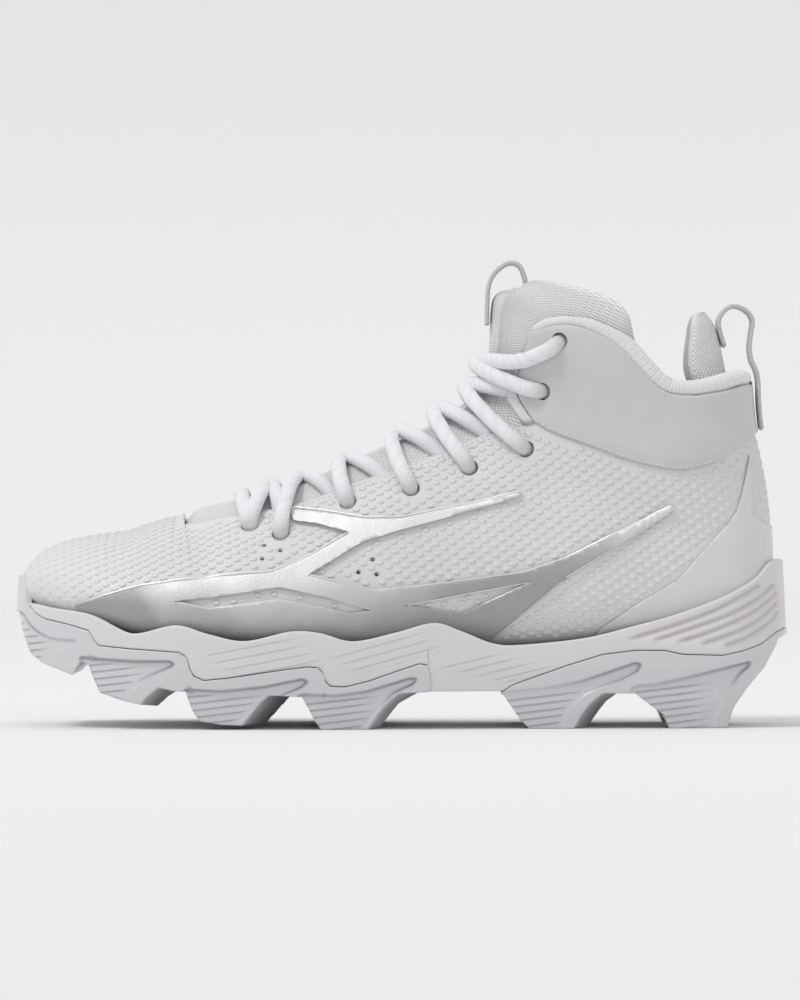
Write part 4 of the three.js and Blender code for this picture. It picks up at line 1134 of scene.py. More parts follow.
FLUTES = [
    [[78.5, 21.8], [82, 23.7], [87, 26.8], [91.1, 30], [95.8, 34.7]],
    [[81.7, 21.4], [86.5, 24.3], [91.7, 27.8], [95.8, 31.8], [97.9, 34.9]],
    [[84.9, 21.1], [89.3, 23.7], [93.6, 27], [96.4, 30], [98.3, 32.9]],
    [[88, 20.7], [91.1, 22.5], [94.7, 25.3], [97.3, 28.6], [98.4, 30.7]],
    [[91.1, 20.2], [93.6, 21.8], [95.8, 23.9], [97.7, 26.4], [98.5, 28.2]],
]
SIDE_LINES = [
    # from x, z, to x, z, count, step down between lines, step along between lines
    [24.7, 17.6, 37.3, 22.3, 4, -1.8, 1.0],
    [40.5, 16.9, 53.0, 23.4, 3, -1.5, 1.3],
    [54.3, 14.4, 63.1, 18.3, 4, -1.0, 2.2],
]
STEPS = [
    # the arrow on each stud: its upper edge, tip and lower edge
    [[1.2, 28.1], [2, 25.8], [3.2, 23.8], [4.8, 22.2], [6.7, 21.7], [8.2, 21.7], [8.6, 21], [8.1, 20.3],
     [6.7, 19.6], [5.2, 18.8], [4.2, 16.1], [4, 10], [-2, 16], [-2, 28]],
    [[8.9, 17.7], [11.5, 17.2], [16.1, 16.7], [20.6, 16.8], [21.2, 16.2], [21.1, 15.4], [17.8, 12.7],
     [16.4, 11], [14.6, 7.3], [14, 4], [9.8, 4], [9.4, 14]],
    [[22.4, 9.9], [27.3, 9.5], [32.4, 10.5], [37.5, 12.5], [38.3, 11.8], [37.5, 10.2], [35.1, 8.2],
     [32.2, 6.4], [29, 1], [28, -3], [21.6, -3], [22, 6]],
    [[36.9, 8.7], [41.8, 8.4], [45.7, 9.4], [51.3, 12.7], [52.1, 12.4], [51.7, 10.9], [49.1, 8.7],
     [47.5, 5.4], [45.4, 0], [45, -3], [36.4, -3], [36.6, 6]],
    [[62, 9.1], [64.7, 9.4], [68.3, 10], [73, 11.7], [77.9, 14.9], [79.9, 16.2], [80.7, 15.9], [80.3, 13.9],
     [78.6, 12], [75.8, 10.2], [73.4, 8.2], [71.5, 4.7], [70, -3], [61, -3]],
    [[79.4, 10.3], [82.7, 10.9], [87.4, 12.9], [94.2, 16.1], [94.8, 16.2], [94.7, 15], [93.6, 13.4],
     [91.7, 8.2], [90.5, 2.5], [90, -3], [79, -3], [79.2, 6]],
]
STEP_DEPTH = 1.3
FLUTE_DEPTH = 1.1


def step_relief(points):
    """How far the stud panels are set back behind the band above them, and where the shadow line lies."""
    depth, shadow = np.zeros(len(points)), np.zeros(len(points))
    for row in STEPS:
        outline = rounded(to_mm(row), 1.6, 5)
        apart, _ = from_line(points, np.vstack([outline, outline[:1]]))
        signed = np.where(inside(points, outline), apart, -apart)
        top = to_mm(row)[:, 1].max()
        fade = 0.35 + 0.65 * smooth_step(16, 2, top - points[:, 1])
        depth = np.maximum(depth, STEP_DEPTH * smooth_step(-0.2, 0.45, signed) * fade)
        shadow = np.maximum(shadow, bell(signed - 0.3, 0.6) * smooth_step(13, 3, top - points[:, 1]))
    return depth, shadow


def flute_relief(points):
    """How deep the flutes of the heel are, and the shadow line along their sharp upper edges."""
    depth, shadow = np.zeros(len(points)), np.zeros(len(points))
    for row in FLUTES:
        line = through(to_mm(row), 30)
        apart, share = from_line(points, line)
        over = np.sign(points[:, 1] - np.interp(points[:, 0], line[:, 0], line[:, 1]))
        wide = np.where(over > 0, 0.55, 2.1)
        open_end = smooth_step(0, 0.1, share)
        depth = np.maximum(depth, FLUTE_DEPTH * bell(apart, wide) * open_end)
        shadow = np.maximum(shadow, 0.8 * bell(apart + 0.2 * over, 0.6) * open_end)
    return depth, shadow


def side_lines(points):
    """The map of the fine lines on the midsole: phase across them and how deep they are."""
    phase, amount = np.zeros(len(points)), np.zeros(len(points))
    for x0, z0, x1, z1, count, down, on in SIDE_LINES:
        start, end = to_mm([[x0, z0], [x1, z1]])
        shift = np.array([along(on), above(down)])
        run = (end - start) / np.linalg.norm(end - start)
        normal = np.array([-run[1], run[0]])
        pitch = -(shift @ normal)
        across_lines = -((points - start) @ normal) / pitch
        way = (points - start - np.clip(across_lines, 0, count - 1)[:, None] * shift) @ run
        size = np.linalg.norm(end - start)
        part = smooth_step(-1, 6, way) * smooth_step(size + 2, size - 8, way)
        part = part * smooth_step(-0.6, -0.4, across_lines)
        part = part * smooth_step(count - 0.4, count - 0.6, across_lines)
        phase = np.where(part > 0, across_lines + 0.5, phase)
        amount = np.maximum(amount, part * 0.6)
    return phase, amount


def stud_lines(points):
    """The map of the ribs on the stud panels."""
    phase = (points[:, 1] - 0.12 * points[:, 0]) / 2.7
    amount = np.zeros(len(points))
    for row in STEPS:
        outline = to_mm(row)
        apart, _ = from_line(points, np.vstack([outline, outline[:1]]))
        deep = np.where(inside(points, outline), apart, 0)
        reach = outline[:, 0].max() - outline[:, 0].min()
        way = (points[:, 0] - outline[:, 0].min()) / reach
        amount = np.maximum(amount, smooth_step(1.2, 2.4, deep) * smooth_step(0.75, 0.45, way))
    return phase, amount * 0.7


print("flutes:", len(FLUTES), "stud panels:", len(STEPS))

# %% [markdown]
# ## The midsole
# A foam cup with a waved rim holds the upper. The grid below runs round the shoe once: its rows come
# out from under the foot, climb the wall, turn over the rim and go down between foam and upper.

# %% Midsole
def with_lines(mesh, points, lines, relief):
    """Add the map of the fine lines and the shadow of the relief to a mesh made by grid."""
    shadow = mesh.attributes.new("shadow", "FLOAT", "POINT")
    shadow.data.foreach_set("value", relief(points)[1])
    corners = np.empty(len(mesh.loops), int)
    mesh.loops.foreach_get("vertex_index", corners)
    phase, amount = lines(points)
    layer = mesh.uv_layers.new(name="lines")
    layer.data.foreach_set("uv", np.column_stack([phase, amount])[corners].ravel())
    return mesh


def part_height(x):
    """The lower edge of the midsole wall."""
    fore = np.interp(x, fore_part[:, 0], fore_part[:, 1])
    heel = np.interp(x, heel_part[:, 0], heel_part[:, 1])
    arch = above(9.1)
    return np.where(x < along(53.7), fore, np.where(x > along(62.9), heel, arch))


heel_rows = SECTIONS[15:]
toe_rows = SECTIONS[:5]


def held_in(x, z):
    """Keep x inside the last at a height."""
    heel_x = np.interp(z, above(heel_rows[:, 3]), along(heel_rows[:, 2]))
    toe_x = np.interp(z, above(toe_rows[::-1, 3]), along(toe_rows[::-1, 2]))
    return np.clip(x, toe_x + 0.3, heel_x - 0.05)


def nearest_on_upper(x, z, side, offset):
    place, turn = find_on_last(held_in(x, z), z)
    return skin(place, np.where(side < 0, turn, -turn), offset)


MIDSOLE_START = 13.8
MIDSOLE_COLUMNS = 760
BELOW, WALL_ROWS, LIP = 8, 40, 9


def round_shoe(u, start):
    """Angle and side of a column on its way round the shoe."""
    angle = start + (180 - start) * (1 - np.abs(2 * u - 1))
    return angle, np.where(u < 0.5, -1, 1)


def midsole_surface(u, v):
    angle, side = round_shoe(u, MIDSOLE_START)
    x = along(50 * (1 - np.cos(np.radians(angle))))
    top = rim_height(x)
    low = np.minimum(part_height(x) + GAP / 2, top - 0.8)
    row = v * (BELOW + WALL_ROWS + LIP)
    spine = np.stack([np.clip(x, along(8), along(94)), toe_side(x), low], axis=-1)
    climb = np.clip((row - BELOW) / WALL_ROWS, 0, 1)
    z = low + 0.5 + (top - 0.9 - low - 0.5) * climb
    flat = sole_point(angle, side, wall_out(z))
    relief = flute_relief(np.column_stack([x, z]))[0]
    wall = np.column_stack([sole_point(angle, side, wall_out(z) - relief), z])
    foot = np.column_stack([sole_point(angle, side, wall_out(low) - 0.35), low])
    share = np.clip(row / (BELOW - 1), 0, 1)
    under = spine + (foot - spine) * (1 - (1 - share) ** 2)[:, None]
    lip_row = row - BELOW - WALL_ROWS
    inset = np.select([lip_row < 1.5, lip_row < 2.5, lip_row < 3.5], [0.08, 0.4, 0.95], 1.5)
    drop = np.select([lip_row < 1.5, lip_row < 2.5, lip_row < 3.5], [0.5, 0.15, 0.02], 0.0)
    lip = np.column_stack([sole_point(angle, side, wall_out(top) - inset), top - drop])
    upper_side = nearest_on_upper(x, top - 0.2, side, GAP)
    go = np.clip((lip_row - 4) / 3, 0, 1)[:, None]
    lip = lip * (1 - go) + upper_side * go
    deep = nearest_on_upper(x, top - 4, side, GAP)
    lip = np.where((lip_row > 7.5)[:, None], (deep + upper_side) / 2, lip)
    lip = np.where((lip_row > 8.5)[:, None], deep, lip)
    points = np.where((row < BELOW - 0.5)[:, None], under, wall)
    return np.where((lip_row > 0.5)[:, None], lip, points)


def measured(mesh):
    """The points of a mesh in millimetres, seen from the side."""
    flat = np.empty(len(mesh.vertices) * 3)
    mesh.vertices.foreach_get("co", flat)
    return (flat.reshape(-1, 3) * 1000 + MIDDLE)[:, [0, 2]]


midsole_mesh = grid(MIDSOLE_COLUMNS, BELOW + WALL_ROWS + LIP, midsole_surface)
with_lines(midsole_mesh, measured(midsole_mesh), side_lines, flute_relief)
midsole = joined("midsole_cup", [midsole_mesh], merge=1e-5)
finished(midsole, "midsole", "foam", midsole_material)

# %% [markdown]
# ## The plates and studs
# Seen from below the plate is a height field too: the studs hang down from it, sloped on their inner
# face and hollowed behind their outer edge.

# %% Plates
UNDERSIDE = to_mm([
    [0, 27], [1.9, 20], [5, 18.8], [9.8, 15.8], [15, 12], [21, 9.4], [37, 8], [45, 8.2], [53.7, 9.1],
    [62.9, 8.6], [80, 8.6], [91, 9.2], [94, 10.6], [96.3, 14.5], [98.1, 20], [98.5, 21.8], [101, 23.5],
])
STUD_FOOT = to_mm([
    [0, 30], [0.4, 27.5], [1.3, 23], [2.1, 19], [2.4, 18], [4.1, 15.7], [8, 13], [8.9, 14.7], [9.9, 16.2],
    [10.15, 15.6], [10.2, 15.1], [10.7, 12.5], [11.6, 8.8], [14.6, 6.9], [18.7, 5.2], [19.8, 7.2],
    [21.1, 8.8], [22.5, 10.6], [22.65, 9.4], [22.7, 8.8], [23.5, 4.7], [24.4, 2.1], [27.2, 1.2],
    [32.9, 0.8], [35.1, 5.3],
    [37.1, 7.4], [37.3, 7.9], [37.45, 7.9], [38.2, 5.3], [39.2, 1.7], [39.9, 0], [47.2, 0], [49.7, 6],
    [52.4, 8.6], [53.7, 9.1], [62.9, 8.8], [65.3, 2], [66.4, 0], [74, 0], [76.5, 6.3], [78.2, 8.3],
    [79.4, 9.3], [83.6, 3.2], [84.3, 0], [91.8, 0], [92.6, 5], [94.6, 10.3], [96.7, 14.8], [98.3, 20],
    [98.6, 21.6], [101, 23.5],
])
STUD_ENDS = along([10.17, 22.6, 37.4, 58, 79.3, 101])
STUD_INSIDE = across([8, 18, 20, 20, 15, 13])
SCOOPS = [
    [[6.6, 12], [8, 16], [9.6, 18.6], [12, 18.6]],
    [[16, 4], [17.4, 7.5], [20, 11], [23, 12.4], [25, 12.4]],
    [[29, -2], [31.4, 4], [34, 9], [38, 11.5], [41, 11.5]],
    [[45.2, -2], [47.4, 4.5], [50, 9], [53, 11], [57, 11]],
    [[70.7, -2], [72.6, 4.5], [75.6, 9.5], [78.6, 11.5], [83, 11.5]],
    [[90.3, -2], [91.4, 5], [93.6, 11], [96.4, 17], [101, 17]],
]
SLOPE, SHEAR = 0.3, 0.28


def underneath(x, y):
    """Height of the underside of the outsole over a point of the floor."""
    plate = np.interp(x, UNDERSIDE[:, 0], UNDERSIDE[:, 1])
    foot = np.interp(x, STUD_FOOT[:, 0], STUD_FOOT[:, 1])
    which = np.minimum(np.searchsorted(STUD_ENDS, x), len(STUD_ENDS) - 1)
    inner = (STUD_INSIDE[which] - np.abs(y)) / SLOPE
    back = x - SHEAR * (across(46) - np.abs(y))
    hollow = np.full(x.shape, -50.0)
    for k, row in enumerate(SCOOPS):
        line = through(to_mm(row), 24)
        here = (which == k) & (back > line[0, 0])
        hollow = np.where(here, np.interp(back, line[:, 0], line[:, 1]), hollow)
    return np.minimum(plate, np.maximum(np.maximum(foot, hollow), inner))


# Rows of the grid over the lip, down the wall, round the corner and under the foot
TOP, SIDE, CORNER, UNDER = 3, 52, 3, 40
# Columns to each hundredth of the length
PLATE_COLUMNS = 4.8


def plate_surface(stops, part_line):
    """The outer face and underside of a plate, for columns at the given angles round the shoe."""
    def surface(u, v):
        place = u * (len(stops[0]) - 1)
        angle = np.interp(place, np.arange(len(stops[0])), stops[0])
        side = np.where(np.interp(place, np.arange(len(stops[1])), stops[1]) < 0, -1, 1)
        x = along(50 * (1 - np.cos(np.radians(angle))))
        top = np.interp(x, part_line[:, 0], part_line[:, 1]) - GAP / 2
        edge = sole_point(angle, side, wall_out(top) + PLATE_STEP)
        low = underneath(edge[:, 0], edge[:, 1])
        edge = sole_point(angle, side, wall_out(low) + PLATE_STEP)
        low = np.minimum(underneath(edge[:, 0], edge[:, 1]), top - 1.2)
        row = v * (TOP + SIDE + CORNER + UNDER)
        lip_in = np.select([row < 0.5, row < 1.5], [2.5, 0.35], 0.06)
        lip_down = np.select([row < 0.5, row < 1.5], [0.0, 0.0], 0.22)
        lip = np.column_stack([sole_point(angle, side, wall_out(top) + PLATE_STEP - lip_in), top - lip_down])
        fall = np.clip((row - TOP) / SIDE, 0, 1)
        z = (top - 0.5) + (low + 0.5 - top + 0.5) * fall
        relief = step_relief(np.column_stack([x, z]))[0]
        wall = np.column_stack([sole_point(angle, side, wall_out(z) + PLATE_STEP - relief), z])
        foot_relief = step_relief(np.column_stack([x, low]))[0]
        corner_row = row - TOP - SIDE
        corner_in = np.select([corner_row < 1.5, corner_row < 2.5], [0.1, 0.3], 0.6)
        corner_up = np.select([corner_row < 1.5, corner_row < 2.5], [0.28, 0.1], 0.0)
        corner = np.column_stack([
            sole_point(angle, side, wall_out(low) + PLATE_STEP - foot_relief - corner_in), low + corner_up])
        start = sole_point(angle, side, wall_out(low) + PLATE_STEP - foot_relief - 0.6)
        spine = np.stack([np.clip(x, along(6), along(93)), toe_side(x) * 0.5], axis=-1)
        go = np.clip((corner_row - CORNER) / UNDER, 0, 1)[:, None]
        floor = start + (spine - start) * go
        height = underneath(floor[:, 0], floor[:, 1])
        below = np.column_stack([floor, height])
        points = np.where((row < TOP - 0.5)[:, None], lip, wall)
        points = np.where((corner_row > 0.5)[:, None], corner, points)
        return np.where((corner_row > CORNER - 0.5)[:, None], below, points)
    return surface


def angle_of(x_share):
    return np.degrees(np.arccos(1 - np.asarray(x_share) / 50))


def plate(name, from_x, to_x, closed_at_toe, part_line):
    breaks = np.r_[FORE_PART_X, STUD_X]
    fine = np.unique(np.r_[np.linspace(from_x, to_x, int((to_x - from_x) * PLATE_COLUMNS)), breaks])
    fine = fine[(fine >= from_x) & (fine <= to_x)]
    angles = angle_of(fine)
    if closed_at_toe:
        angles = np.unique(np.r_[np.linspace(0, angle_of(3.0), 16), angles])
        stops = (np.r_[angles[::-1], angles[1:]], np.r_[-np.ones(len(angles)), np.ones(len(angles) - 1)])
    else:
        angles = np.unique(np.r_[angles, np.linspace(angle_of(97), 180, 16)])
        stops = (np.r_[angles, angles[-2::-1]], np.r_[-np.ones(len(angles)), np.ones(len(angles) - 1)])
    mesh = grid(len(stops[0]) - 1, TOP + SIDE + CORNER + UNDER, plate_surface(stops, part_line))
    with_lines(mesh, measured(mesh), stud_lines, step_relief)
    return joined(name, [mesh], merge=1e-5)


FORE_PART_X = np.array(FORE_PART_LINE)[:, 0]
STUD_X = STUD_FOOT[:, 0] / LENGTH * 100
fore = plate("fore_plate", 0, 53.7, True, fore_part)
finished(fore, "outsole_forefoot", "plate", plate_material)
heel = plate("heel_plate", 62.9, 100, False, heel_part)
finished(heel, "outsole_heel", "plate", plate_material)

# %% [markdown]
# ## The nubs
# Raised nubs cover the whole quarter. They sit on a slanted lattice that is laid on the skin as if it
# were unrolled, and each is turned square to the skin. One joined mesh a side keeps them cheap.

# %% Nubs
NUB_STEP_A = np.array([3.45, -1.72])
NUB_STEP_B = np.array([2.88, 2.1])
NUB_LONG, NUB_WIDE, NUB_HIGH = 3.4, 2.3, 0.48


def unrolled(x, z, samples=72):
    """Place and turn of points given on the unrolled skin."""
    place, _ = find_on_last(x, z)
    row = row_at(SECTIONS, place)
    start = np.column_stack([along(row[:, 0]), above(row[:, 1])])
    end = np.column_stack([along(row[:, 2]), above(row[:, 3])])
    run = (end - start) / np.linalg.norm(end - start, axis=1, keepdims=True)
    turns = np.linspace(0.0, math.pi, samples)
    points = last_point(place[:, None], np.broadcast_to(turns, (len(place), samples)))
    steps = np.linalg.norm(np.diff(points, axis=1), axis=2)
    girth = np.column_stack([np.zeros(len(place)), np.cumsum(steps, axis=1)])
    widest = np.abs(points[:, :, 1] - points[:, :1, 1]).argmax(axis=1)
    here = np.arange(len(place))
    middle = points[here, widest][:, [0, 2]]
    way = ((np.column_stack([x, z]) - middle) * run).sum(axis=1) + girth[here, widest]
    turn = np.array([np.interp(w, g, turns) for w, g in zip(way, girth)])
    fits = (way > 0.5) & (way < girth[:, -1])
    return place, turn, fits


def lattice():
    counts = np.arange(-80, 120)
    a, b = (part.ravel() for part in np.meshgrid(counts, counts))
    points = a[:, None] * NUB_STEP_A + b[:, None] * NUB_STEP_B + [20.0, 60.0]
    keep = (points[:, 0] > 0) & (points[:, 0] < LENGTH + 45) & (points[:, 1] > 25) & (points[:, 1] < 150)
    return points[keep]


def bare(points, outline, margin):
    """True for points that keep off an outline by a margin."""
    apart, _ = from_line(points, np.vstack([outline, outline[:1]]))
    return ~inside(points, outline) & (apart > margin)


throat_region = to_mm(
    [[20.5, 60], [21.3, 54.5]] + THROAT_LINE + COLLAR_LOW_LINE + [[110, 84], [110, 140], [20, 140]])
cuff_region = to_mm([[63, 84], [65.9, 74.1]] + CUFF_LOW_LINE + [[105, 72.7], [105, 130], [60, 130]])
spots = lattice()
place, turn, fits = unrolled(spots[:, 0], spots[:, 1])
place, turn = place[fits], turn[fits]
seen = last_point(place, turn)[:, [0, 2]]
keep = (place > 0.5) & (turn > 0.06) & (seen[:, 1] > rim_height(seen[:, 0]) + 1.6)
keep &= bare(seen, throat_region, 2.0) & bare(seen, cuff_region, 1.8) & bare(seen, film_outline, 1.6)
on_foil = inside(seen, foil_outline)
for window in foil_windows:
    on_foil &= ~inside(seen, window)
foil_lines = [np.vstack([foil_outline, foil_outline[:1]])]
foil_lines += [np.vstack([window, window[:1]]) for window in foil_windows]
keep &= ~on_foil & (np.min([from_line(seen, line)[0] for line in foil_lines], axis=0) > 1.4)
for holes, room in ((EYELETS, 4.4), (PINHOLES, 2.4)):
    for hole in to_mm(holes):
        keep &= np.linalg.norm(seen - hole, axis=1) > room
place, turn, seen = place[keep], turn[keep], seen[keep]


def one_nub():
    """A low pillow with an eight sided foot, one unit long, wide and high."""
    bm = bmesh.new()
    bmesh.ops.create_circle(bm, cap_ends=True, segments=8, radius=0.5)
    faces = list(bm.faces)
    for grow, rise in ((0.86, 0.55), (0.6, 0.45)):
        made = bmesh.ops.extrude_face_region(bm, geom=faces)
        fresh = [item for item in made["geom"] if isinstance(item, bmesh.types.BMVert)]
        faces = [item for item in made["geom"] if isinstance(item, bmesh.types.BMFace)]
        bmesh.ops.translate(bm, verts=fresh, vec=(0, 0, rise))
        bmesh.ops.scale(bm, verts=fresh, vec=(grow, grow, 1))
    hidden = [face for face in bm.faces if face.calc_center_median().z < 0.01]
    bmesh.ops.delete(bm, geom=hidden, context="FACES")
    mesh = bpy.data.meshes.new("nub")
    bm.to_mesh(mesh)
    bm.free()
    return mesh


def tiled(name, shape, centres, first, second, normals, sizes):
    """Copies of a small shape as one mesh, each with its own axes and size."""
    base = np.array([corner.co for corner in shape.vertices])
    faces = [list(face.vertices) for face in shape.polygons]
    moved = (centres[:, None] + first[:, None] * (base[:, :1] * sizes[:, None, :1])
             + second[:, None] * (base[:, 1:2] * sizes[:, None, 1:2])
             + normals[:, None] * (base[:, 2:] * sizes[:, None, 2:] - 0.08))
    count = len(base)
    mesh = bpy.data.meshes.new(name)
    corners = [[k + i * count for k in face] for i in range(len(centres)) for face in faces]
    mesh.from_pydata(to_scene(moved.reshape(-1, 3)).tolist(), [], corners)
    bpy.data.meshes.remove(shape)
    return joined(name, [mesh], merge=0, outward=False)


for side, word in ((1, "lateral"), (-1, "medial")):
    centres = skin(place, side * turn, 0)
    normals = last_normal(place, side * turn)
    ahead = np.tile([1.0, 0.0, 0.12], (len(place), 1))
    first = ahead - normals * (ahead * normals).sum(axis=1, keepdims=True)
    first /= np.linalg.norm(first, axis=1, keepdims=True)
    second = np.cross(normals, first)
    ends = np.minimum(smooth_step(0, along(16), seen[:, 0]), smooth_step(along(99), along(88), seen[:, 0]))
    size = 0.72 + 0.28 * ends
    sizes = np.column_stack([NUB_LONG * size, NUB_WIDE * size, NUB_HIGH * (0.6 + 0.4 * ends)])
    nubs = tiled("nubs_" + word, one_nub(), centres, first, second, normals, sizes)
    finished(nubs, None, "nubbed_skin", skin_material)

# %% [markdown]
# ## Stitches
# A stitch is a tiny rounded dash. Two rows of them follow the throat, and one row holds the low and
# front edges of the cuff.

# %% Stitches
def stitch_row(line, side, inset, pitch, lift):
    """Places, run directions and normals of a row of stitches along a line, inset below it."""
    steps = np.r_[0, np.cumsum(np.linalg.norm(np.diff(line, axis=0), axis=1))]
    spread_out = np.arange(pitch / 2, steps[-1], pitch)
    fine = np.column_stack([np.interp(spread_out, steps, line[:, k]) for k in range(2)])
    run = np.gradient(fine, axis=0)
    run /= np.linalg.norm(run, axis=1, keepdims=True)
    fine = fine + np.column_stack([run[:, 1], -run[:, 0]]) * inset
    place, turn = find_on_last(fine[:, 0], fine[:, 1])
    ahead = find_on_last(fine[:, 0] + run[:, 0] * 0.5, fine[:, 1] + run[:, 1] * 0.5)
    points = skin(place, side * turn, lift)
    normals = last_normal(place, side * turn)
    first = skin(ahead[0], side * ahead[1], lift) - points
    first /= np.linalg.norm(first, axis=1, keepdims=True)
    return points, first, np.cross(normals, first), normals


throat_edge = through(to_mm(THROAT_LINE[4:12]), 200)
cuff_edge = through(to_mm(CUFF_LOW_LINE), 200)
cuff_edge_front = through(to_mm(CUFF_FRONT_LINE[::-1][:5]), 60)
for side, word in ((1, "lateral"), (-1, "medial")):
    rows = [stitch_row(throat_edge, side, 1.5, 2.1, 0.05), stitch_row(throat_edge, side, 2.9, 2.1, 0.05)]
    rows.append(stitch_row(cuff_edge, side, -1.4, 2.3, GAP + CUFF + 0.1))
    rows.append(stitch_row(cuff_edge_front, side, 1.3, 2.3, GAP + CUFF + 0.1))
    centres, first, second, normals = (np.vstack(part) for part in zip(*rows))
    sizes = np.tile([1.45, 0.5, 0.32], (len(centres), 1))
    finished(tiled("stitches_" + word, one_nub(), centres, first, second, normals, sizes), None, "webbing",
             thread_material)

# %% [markdown]
# ## The heel pad
# A padded fin stands inside the collar behind the tendon: mesh behind, smooth lining in front.

# %% Heel pad
HEEL_PAD = np.array([
    # level, back, depth, wings, half
    [68, 94.5, 1.2, 1.2, 14], [76, 94, 3, 1.5, 18], [82, 92.9, 3.4, 2.2, 19.5], [87.1, 92.2, 3.4, 2.8, 20],
    [91.7, 91.7, 3.2, 2.6, 19], [96.2, 91.2, 2.9, 2, 17], [99.6, 90.5, 2.6, 1.2, 14],
    [101.8, 89.7, 1.6, 0.5, 8], [102.5, 89.3, 0.02, 0, 0.1],
])


def pad_surface(u, v):
    row = row_at(HEEL_PAD, v * (len(HEEL_PAD) - 1))
    angle = 2 * math.pi * u
    share = np.cos(angle)
    front = np.sin(angle)
    depth = row[:, 2] * (0.5 + 0.5 * np.sign(front) * np.abs(front) ** 0.6) + row[:, 3] * share**2
    x = along(row[:, 1] - depth)
    return np.stack([x, across(row[:, 4]) * share, above(row[:, 0])], axis=-1)


pad = joined("heel_fin", [grid(64, 60, pad_surface, (90, 55))], merge=1e-5)
finished(pad, "heel_pad", "knit", mesh_material, lining_material)
for face in pad.data.polygons:
    middle = np.array(face.center) * 1000 + MIDDLE
    level = row_at(HEEL_PAD, np.interp(middle[2], above(HEEL_PAD[:, 0]), np.arange(len(HEEL_PAD))))
    share = min(abs(middle[1]) / across(level[4]), 1)
    seam = along(level[1] - level[2] * 0.5 - level[3] * share**2)
    face.material_index = 1 if middle[0] < seam else 0

# %% [markdown]
# ## The loops
# Two pull loops of flat webbing: one at the back of the heel, one on top of the tongue.

# %% Loops
HEEL_LOOP = [
    [92, 93.5], [91.6, 95.7], [91.3, 97.9], [91.2, 100.3], [92, 102.8], [93.1, 103.8], [94.3, 103.2],
    [95.2, 101.8], [95.6, 99.9],
    [95.4, 97.1], [95.2, 93.8], [95.4, 90.6], [96, 88], [96.3, 85.4], [96.4, 80], [96.6, 75.5], [96.8, 73],
]
TONGUE_LOOP = [
    [61.15, 99], [61.15, 101.9], [61.2, 105.4], [61.3, 108.1], [61.7, 110.6], [62.5, 112.7], [63.7, 114.3],
    [64.6, 114.5], [65.4, 113.7], [65.9, 111.7], [66.2, 109.4],
]
WEBBING, LOOP_WIDTH = 1.8, 13.0


def strap(name, line, thickness, width, y=0.0):
    """A flat strap of rounded section along a side line."""
    path = through(to_mm(line), 90)
    run = np.gradient(path, axis=0)
    run /= np.linalg.norm(run, axis=1, keepdims=True)
    normal = np.column_stack([-run[:, 1], run[:, 0]])
    steps = np.r_[0, np.cumsum(np.linalg.norm(np.diff(path, axis=0), axis=1))]

    def surface(u, v):
        i = np.rint(u * (len(path) - 1)).astype(int)
        angle = 2 * math.pi * v
        flat = np.sign(np.cos(angle)) * np.abs(np.cos(angle)) ** 0.35 * width / 2
        thick = np.sign(np.sin(angle)) * np.abs(np.sin(angle)) ** 0.6 * thickness / 2
        pull = np.where((i == 0) | (i == len(path) - 1), 0.1, 1)
        spot = path[i] + normal[i] * (thick * pull)[:, None]
        return np.column_stack([spot[:, 0], y + flat * pull, spot[:, 1]])
    return joined(name, [grid(len(path) - 1, 32, surface, (steps[-1], 2 * width))], merge=1e-6)


finished(strap("heel_pull", HEEL_LOOP, WEBBING, LOOP_WIDTH), "heel_loop", "webbing", webbing_material)
finished(strap("tongue_pull", TONGUE_LOOP, WEBBING, LOOP_WIDTH), "tongue_loop", "webbing", webbing_material)

# %% [markdown]
# ## The lace
# One round woven lace: a bar over the lowest eyelets, then crossings up to the ankle. Each strand
# leaves one eyelet from outside, passes over the tongue and dives under the far edge of the throat.

# %% Lace
LACE = 6.0
PEAKS = [[33.6, 57], [37.2, 60], [43.3, 65], [49.7, 71.5], [55, 77.4], [59, 83.6], [60.4, 91]]
# Share of the way from eyelet to eyelet, and height over the skin in millimetres
BAR_LIFT = [
    [0, -5], [0.02, 0.5], [0.06, 2.4], [0.2, 2.6], [0.5, 2.3], [0.8, 2.6], [0.94, 2.4], [0.98, 0.5],
    [1, -5],
]
CROSS_LIFT = [
    [0, -5], [0.015, 0.5], [0.06, 3.0], [0.2, 3.4], [0.34, 3.1], [0.5, 2.6], [0.62, 1.6], [0.74, 0.6],
    [0.84, -2.0], [0.93, -4.2],
]
TOP_LIFT = [
    [0, -5], [0.015, 1.5], [0.06, 3.9], [0.2, 3.9], [0.36, 3], [0.5, 2.2], [0.64, 3], [0.8, 3.9],
    [0.94, 3.9], [0.985, 1.5], [1, -5],
]


def strand(start, end, peak, lifts):
    """A cord over the skin from one eyelet to another by way of a peak on the instep line."""
    lifts = through(lifts, 70)
    way, lift = lifts[:, 0], lifts[:, 1]
    bend = 4 * (peak[0] - (start[0] + end[0]) / 2)
    places = start[0] + (end[0] - start[0]) * way + bend * way * (1 - way)
    turns = start[1] + (end[1] - start[1]) * way
    points = skin(places, turns, lift)
    return tube_mesh(points, LACE, LACE * 0.82, 18, last_normal(places, turns))


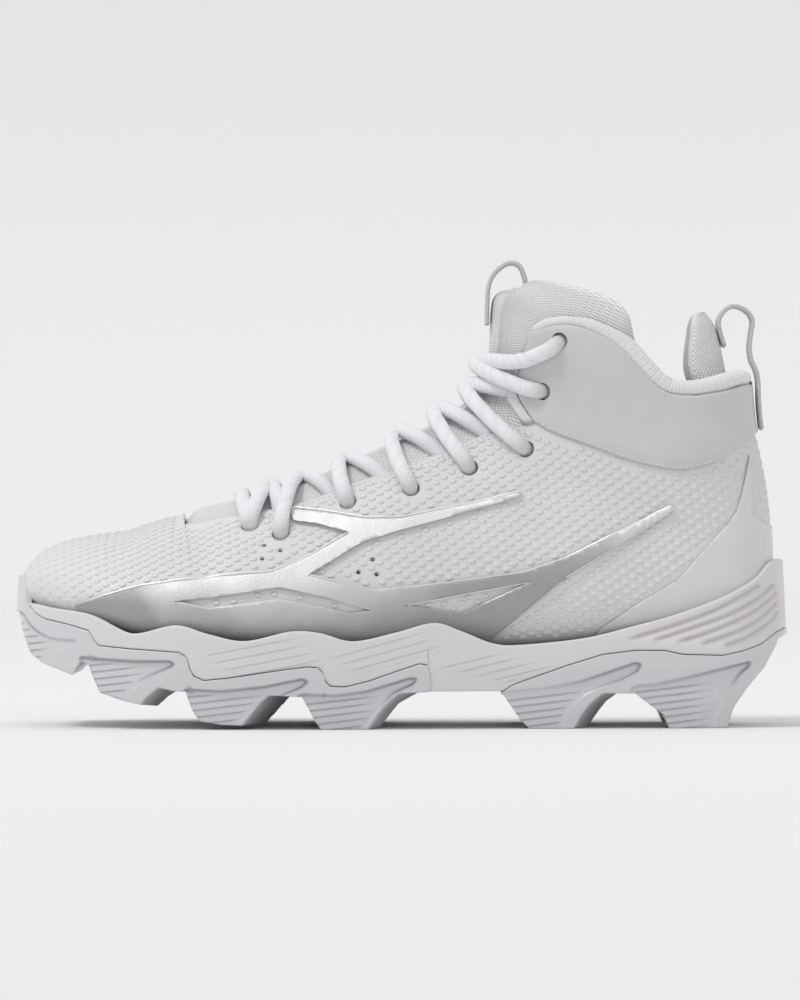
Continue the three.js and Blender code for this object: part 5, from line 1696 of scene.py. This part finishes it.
eyelets = on_last(EYELETS)
peaks = on_last(PEAKS)
bar_peak = on_last([[29.6, 55]])[0]
flip = np.array([1, -1])
bar = joined("lace_bar_cord", [strand(eyelets[0], eyelets[0] * flip, bar_peak, BAR_LIFT)], merge=1e-6)
finished(bar, "lace_bar", "lace", lace_material)
for k in range(len(peaks)):
    lifts = TOP_LIFT if k == len(peaks) - 1 else CROSS_LIFT
    meshes = [
        strand(eyelets[k] * turned, eyelets[k + 1] * flip * turned, peaks[k], lifts)
        for turned in (np.array([1, 1]), flip)]
    crossing = joined(f"lace_cross_{k + 1}", meshes, merge=1e-6)
    finished(crossing, f"lace_crossing_{k + 1}", "lace", lace_material)

# %% [markdown]
# ## The insole
# The footbed keeps its solid from the frame, with a textile cover.

# %% Insole
for item in scene.objects:
    if item.name.startswith("insole"):
        item.data.materials.clear()
        item.data.materials.append(lining_material)
        print("textile on", item.name)

# %% [markdown]
# ## Floor, light and camera
# A pale studio: one wide sweep of floor, a big soft light above and in front, and an even pale sky.

# %% Studio
def sweep_surface(u, v):
    x = (u - 0.5) * 9000
    run = v * 9000 - 3500
    bend = np.clip(run - 3000, 0, None)
    y = np.minimum(run, 3000) + 900 * np.sin(np.clip(bend / 900, 0, math.pi / 2))
    z = 900 * (1 - np.cos(np.clip(bend / 900, 0, math.pi / 2))) + np.clip(bend - 900 * math.pi / 2, 0, None)
    return np.column_stack([x, y, z])


floor = joined("floor", [grid(2, 90, sweep_surface)])


def pale_floor(words):
    return {"Base Color": words.blend(words.noise(words.object_place(), 3.0), shade(0.87), shade(0.875))}


floor_material = material("pale_floor", pale_floor, Roughness=0.95, Specular_IOR_Level=0.1)
floor.data.materials.append(floor_material)

world = bpy.data.worlds.new("studio")
scene.world = world
world.use_nodes = True
world.node_tree.nodes["Background"].inputs["Color"].default_value = (1, 1, 1, 1)
world.node_tree.nodes["Background"].inputs["Strength"].default_value = 0.66
scene.view_settings.view_transform = "Standard"


def soft_light(name, place, target, size, power):
    data = bpy.data.lights.new(name, "AREA")
    data.shape = "RECTANGLE"
    data.size, data.size_y = size
    data.energy = power
    lamp = bpy.data.objects.new(name, data)
    lamp.location = place
    lamp.rotation_euler = (Vector(target) - Vector(place)).to_track_quat("-Z", "Y").to_euler()
    scene.collection.objects.link(lamp)
    return lamp


soft_light("overhead", (-0.2, 0.1, 1.5), (0, 0, 0.05), (1.6, 1.0), 2.4)
key_data = bpy.data.lights.new("key", "SUN")
key_data.energy = 1.0
key_data.angle = math.radians(16)
key = bpy.data.objects.new("key", key_data)
key.rotation_euler = Vector((0.5, 0.35, -0.92)).to_track_quat("-Z", "Y").to_euler()
scene.collection.objects.link(key)

# The image is 800 pixels wide and each pixel shows 0.387 millimetres of the shoe's middle plane
SENSOR, CAMERA_AWAY = 36, 2250
IMAGE_WIDTH, MM_TO_PIXEL = 800, 0.387
camera_data = bpy.data.cameras.new("camera")
camera_data.sensor_fit = "HORIZONTAL"
camera_data.sensor_width = SENSOR
camera_data.lens = SENSOR * CAMERA_AWAY / (IMAGE_WIDTH * MM_TO_PIXEL)
camera = bpy.data.objects.new("camera", camera_data)
camera.location = (-0.00036, (-MIDDLE[1] - CAMERA_AWAY) / 1000, 0.087)
camera.rotation_euler = (math.pi / 2, 0, 0)
scene.collection.objects.link(camera)
scene.camera = camera
print("camera and lights set")

# %% Sizes and the end
print("triangles added:", sum(finishes.values()))
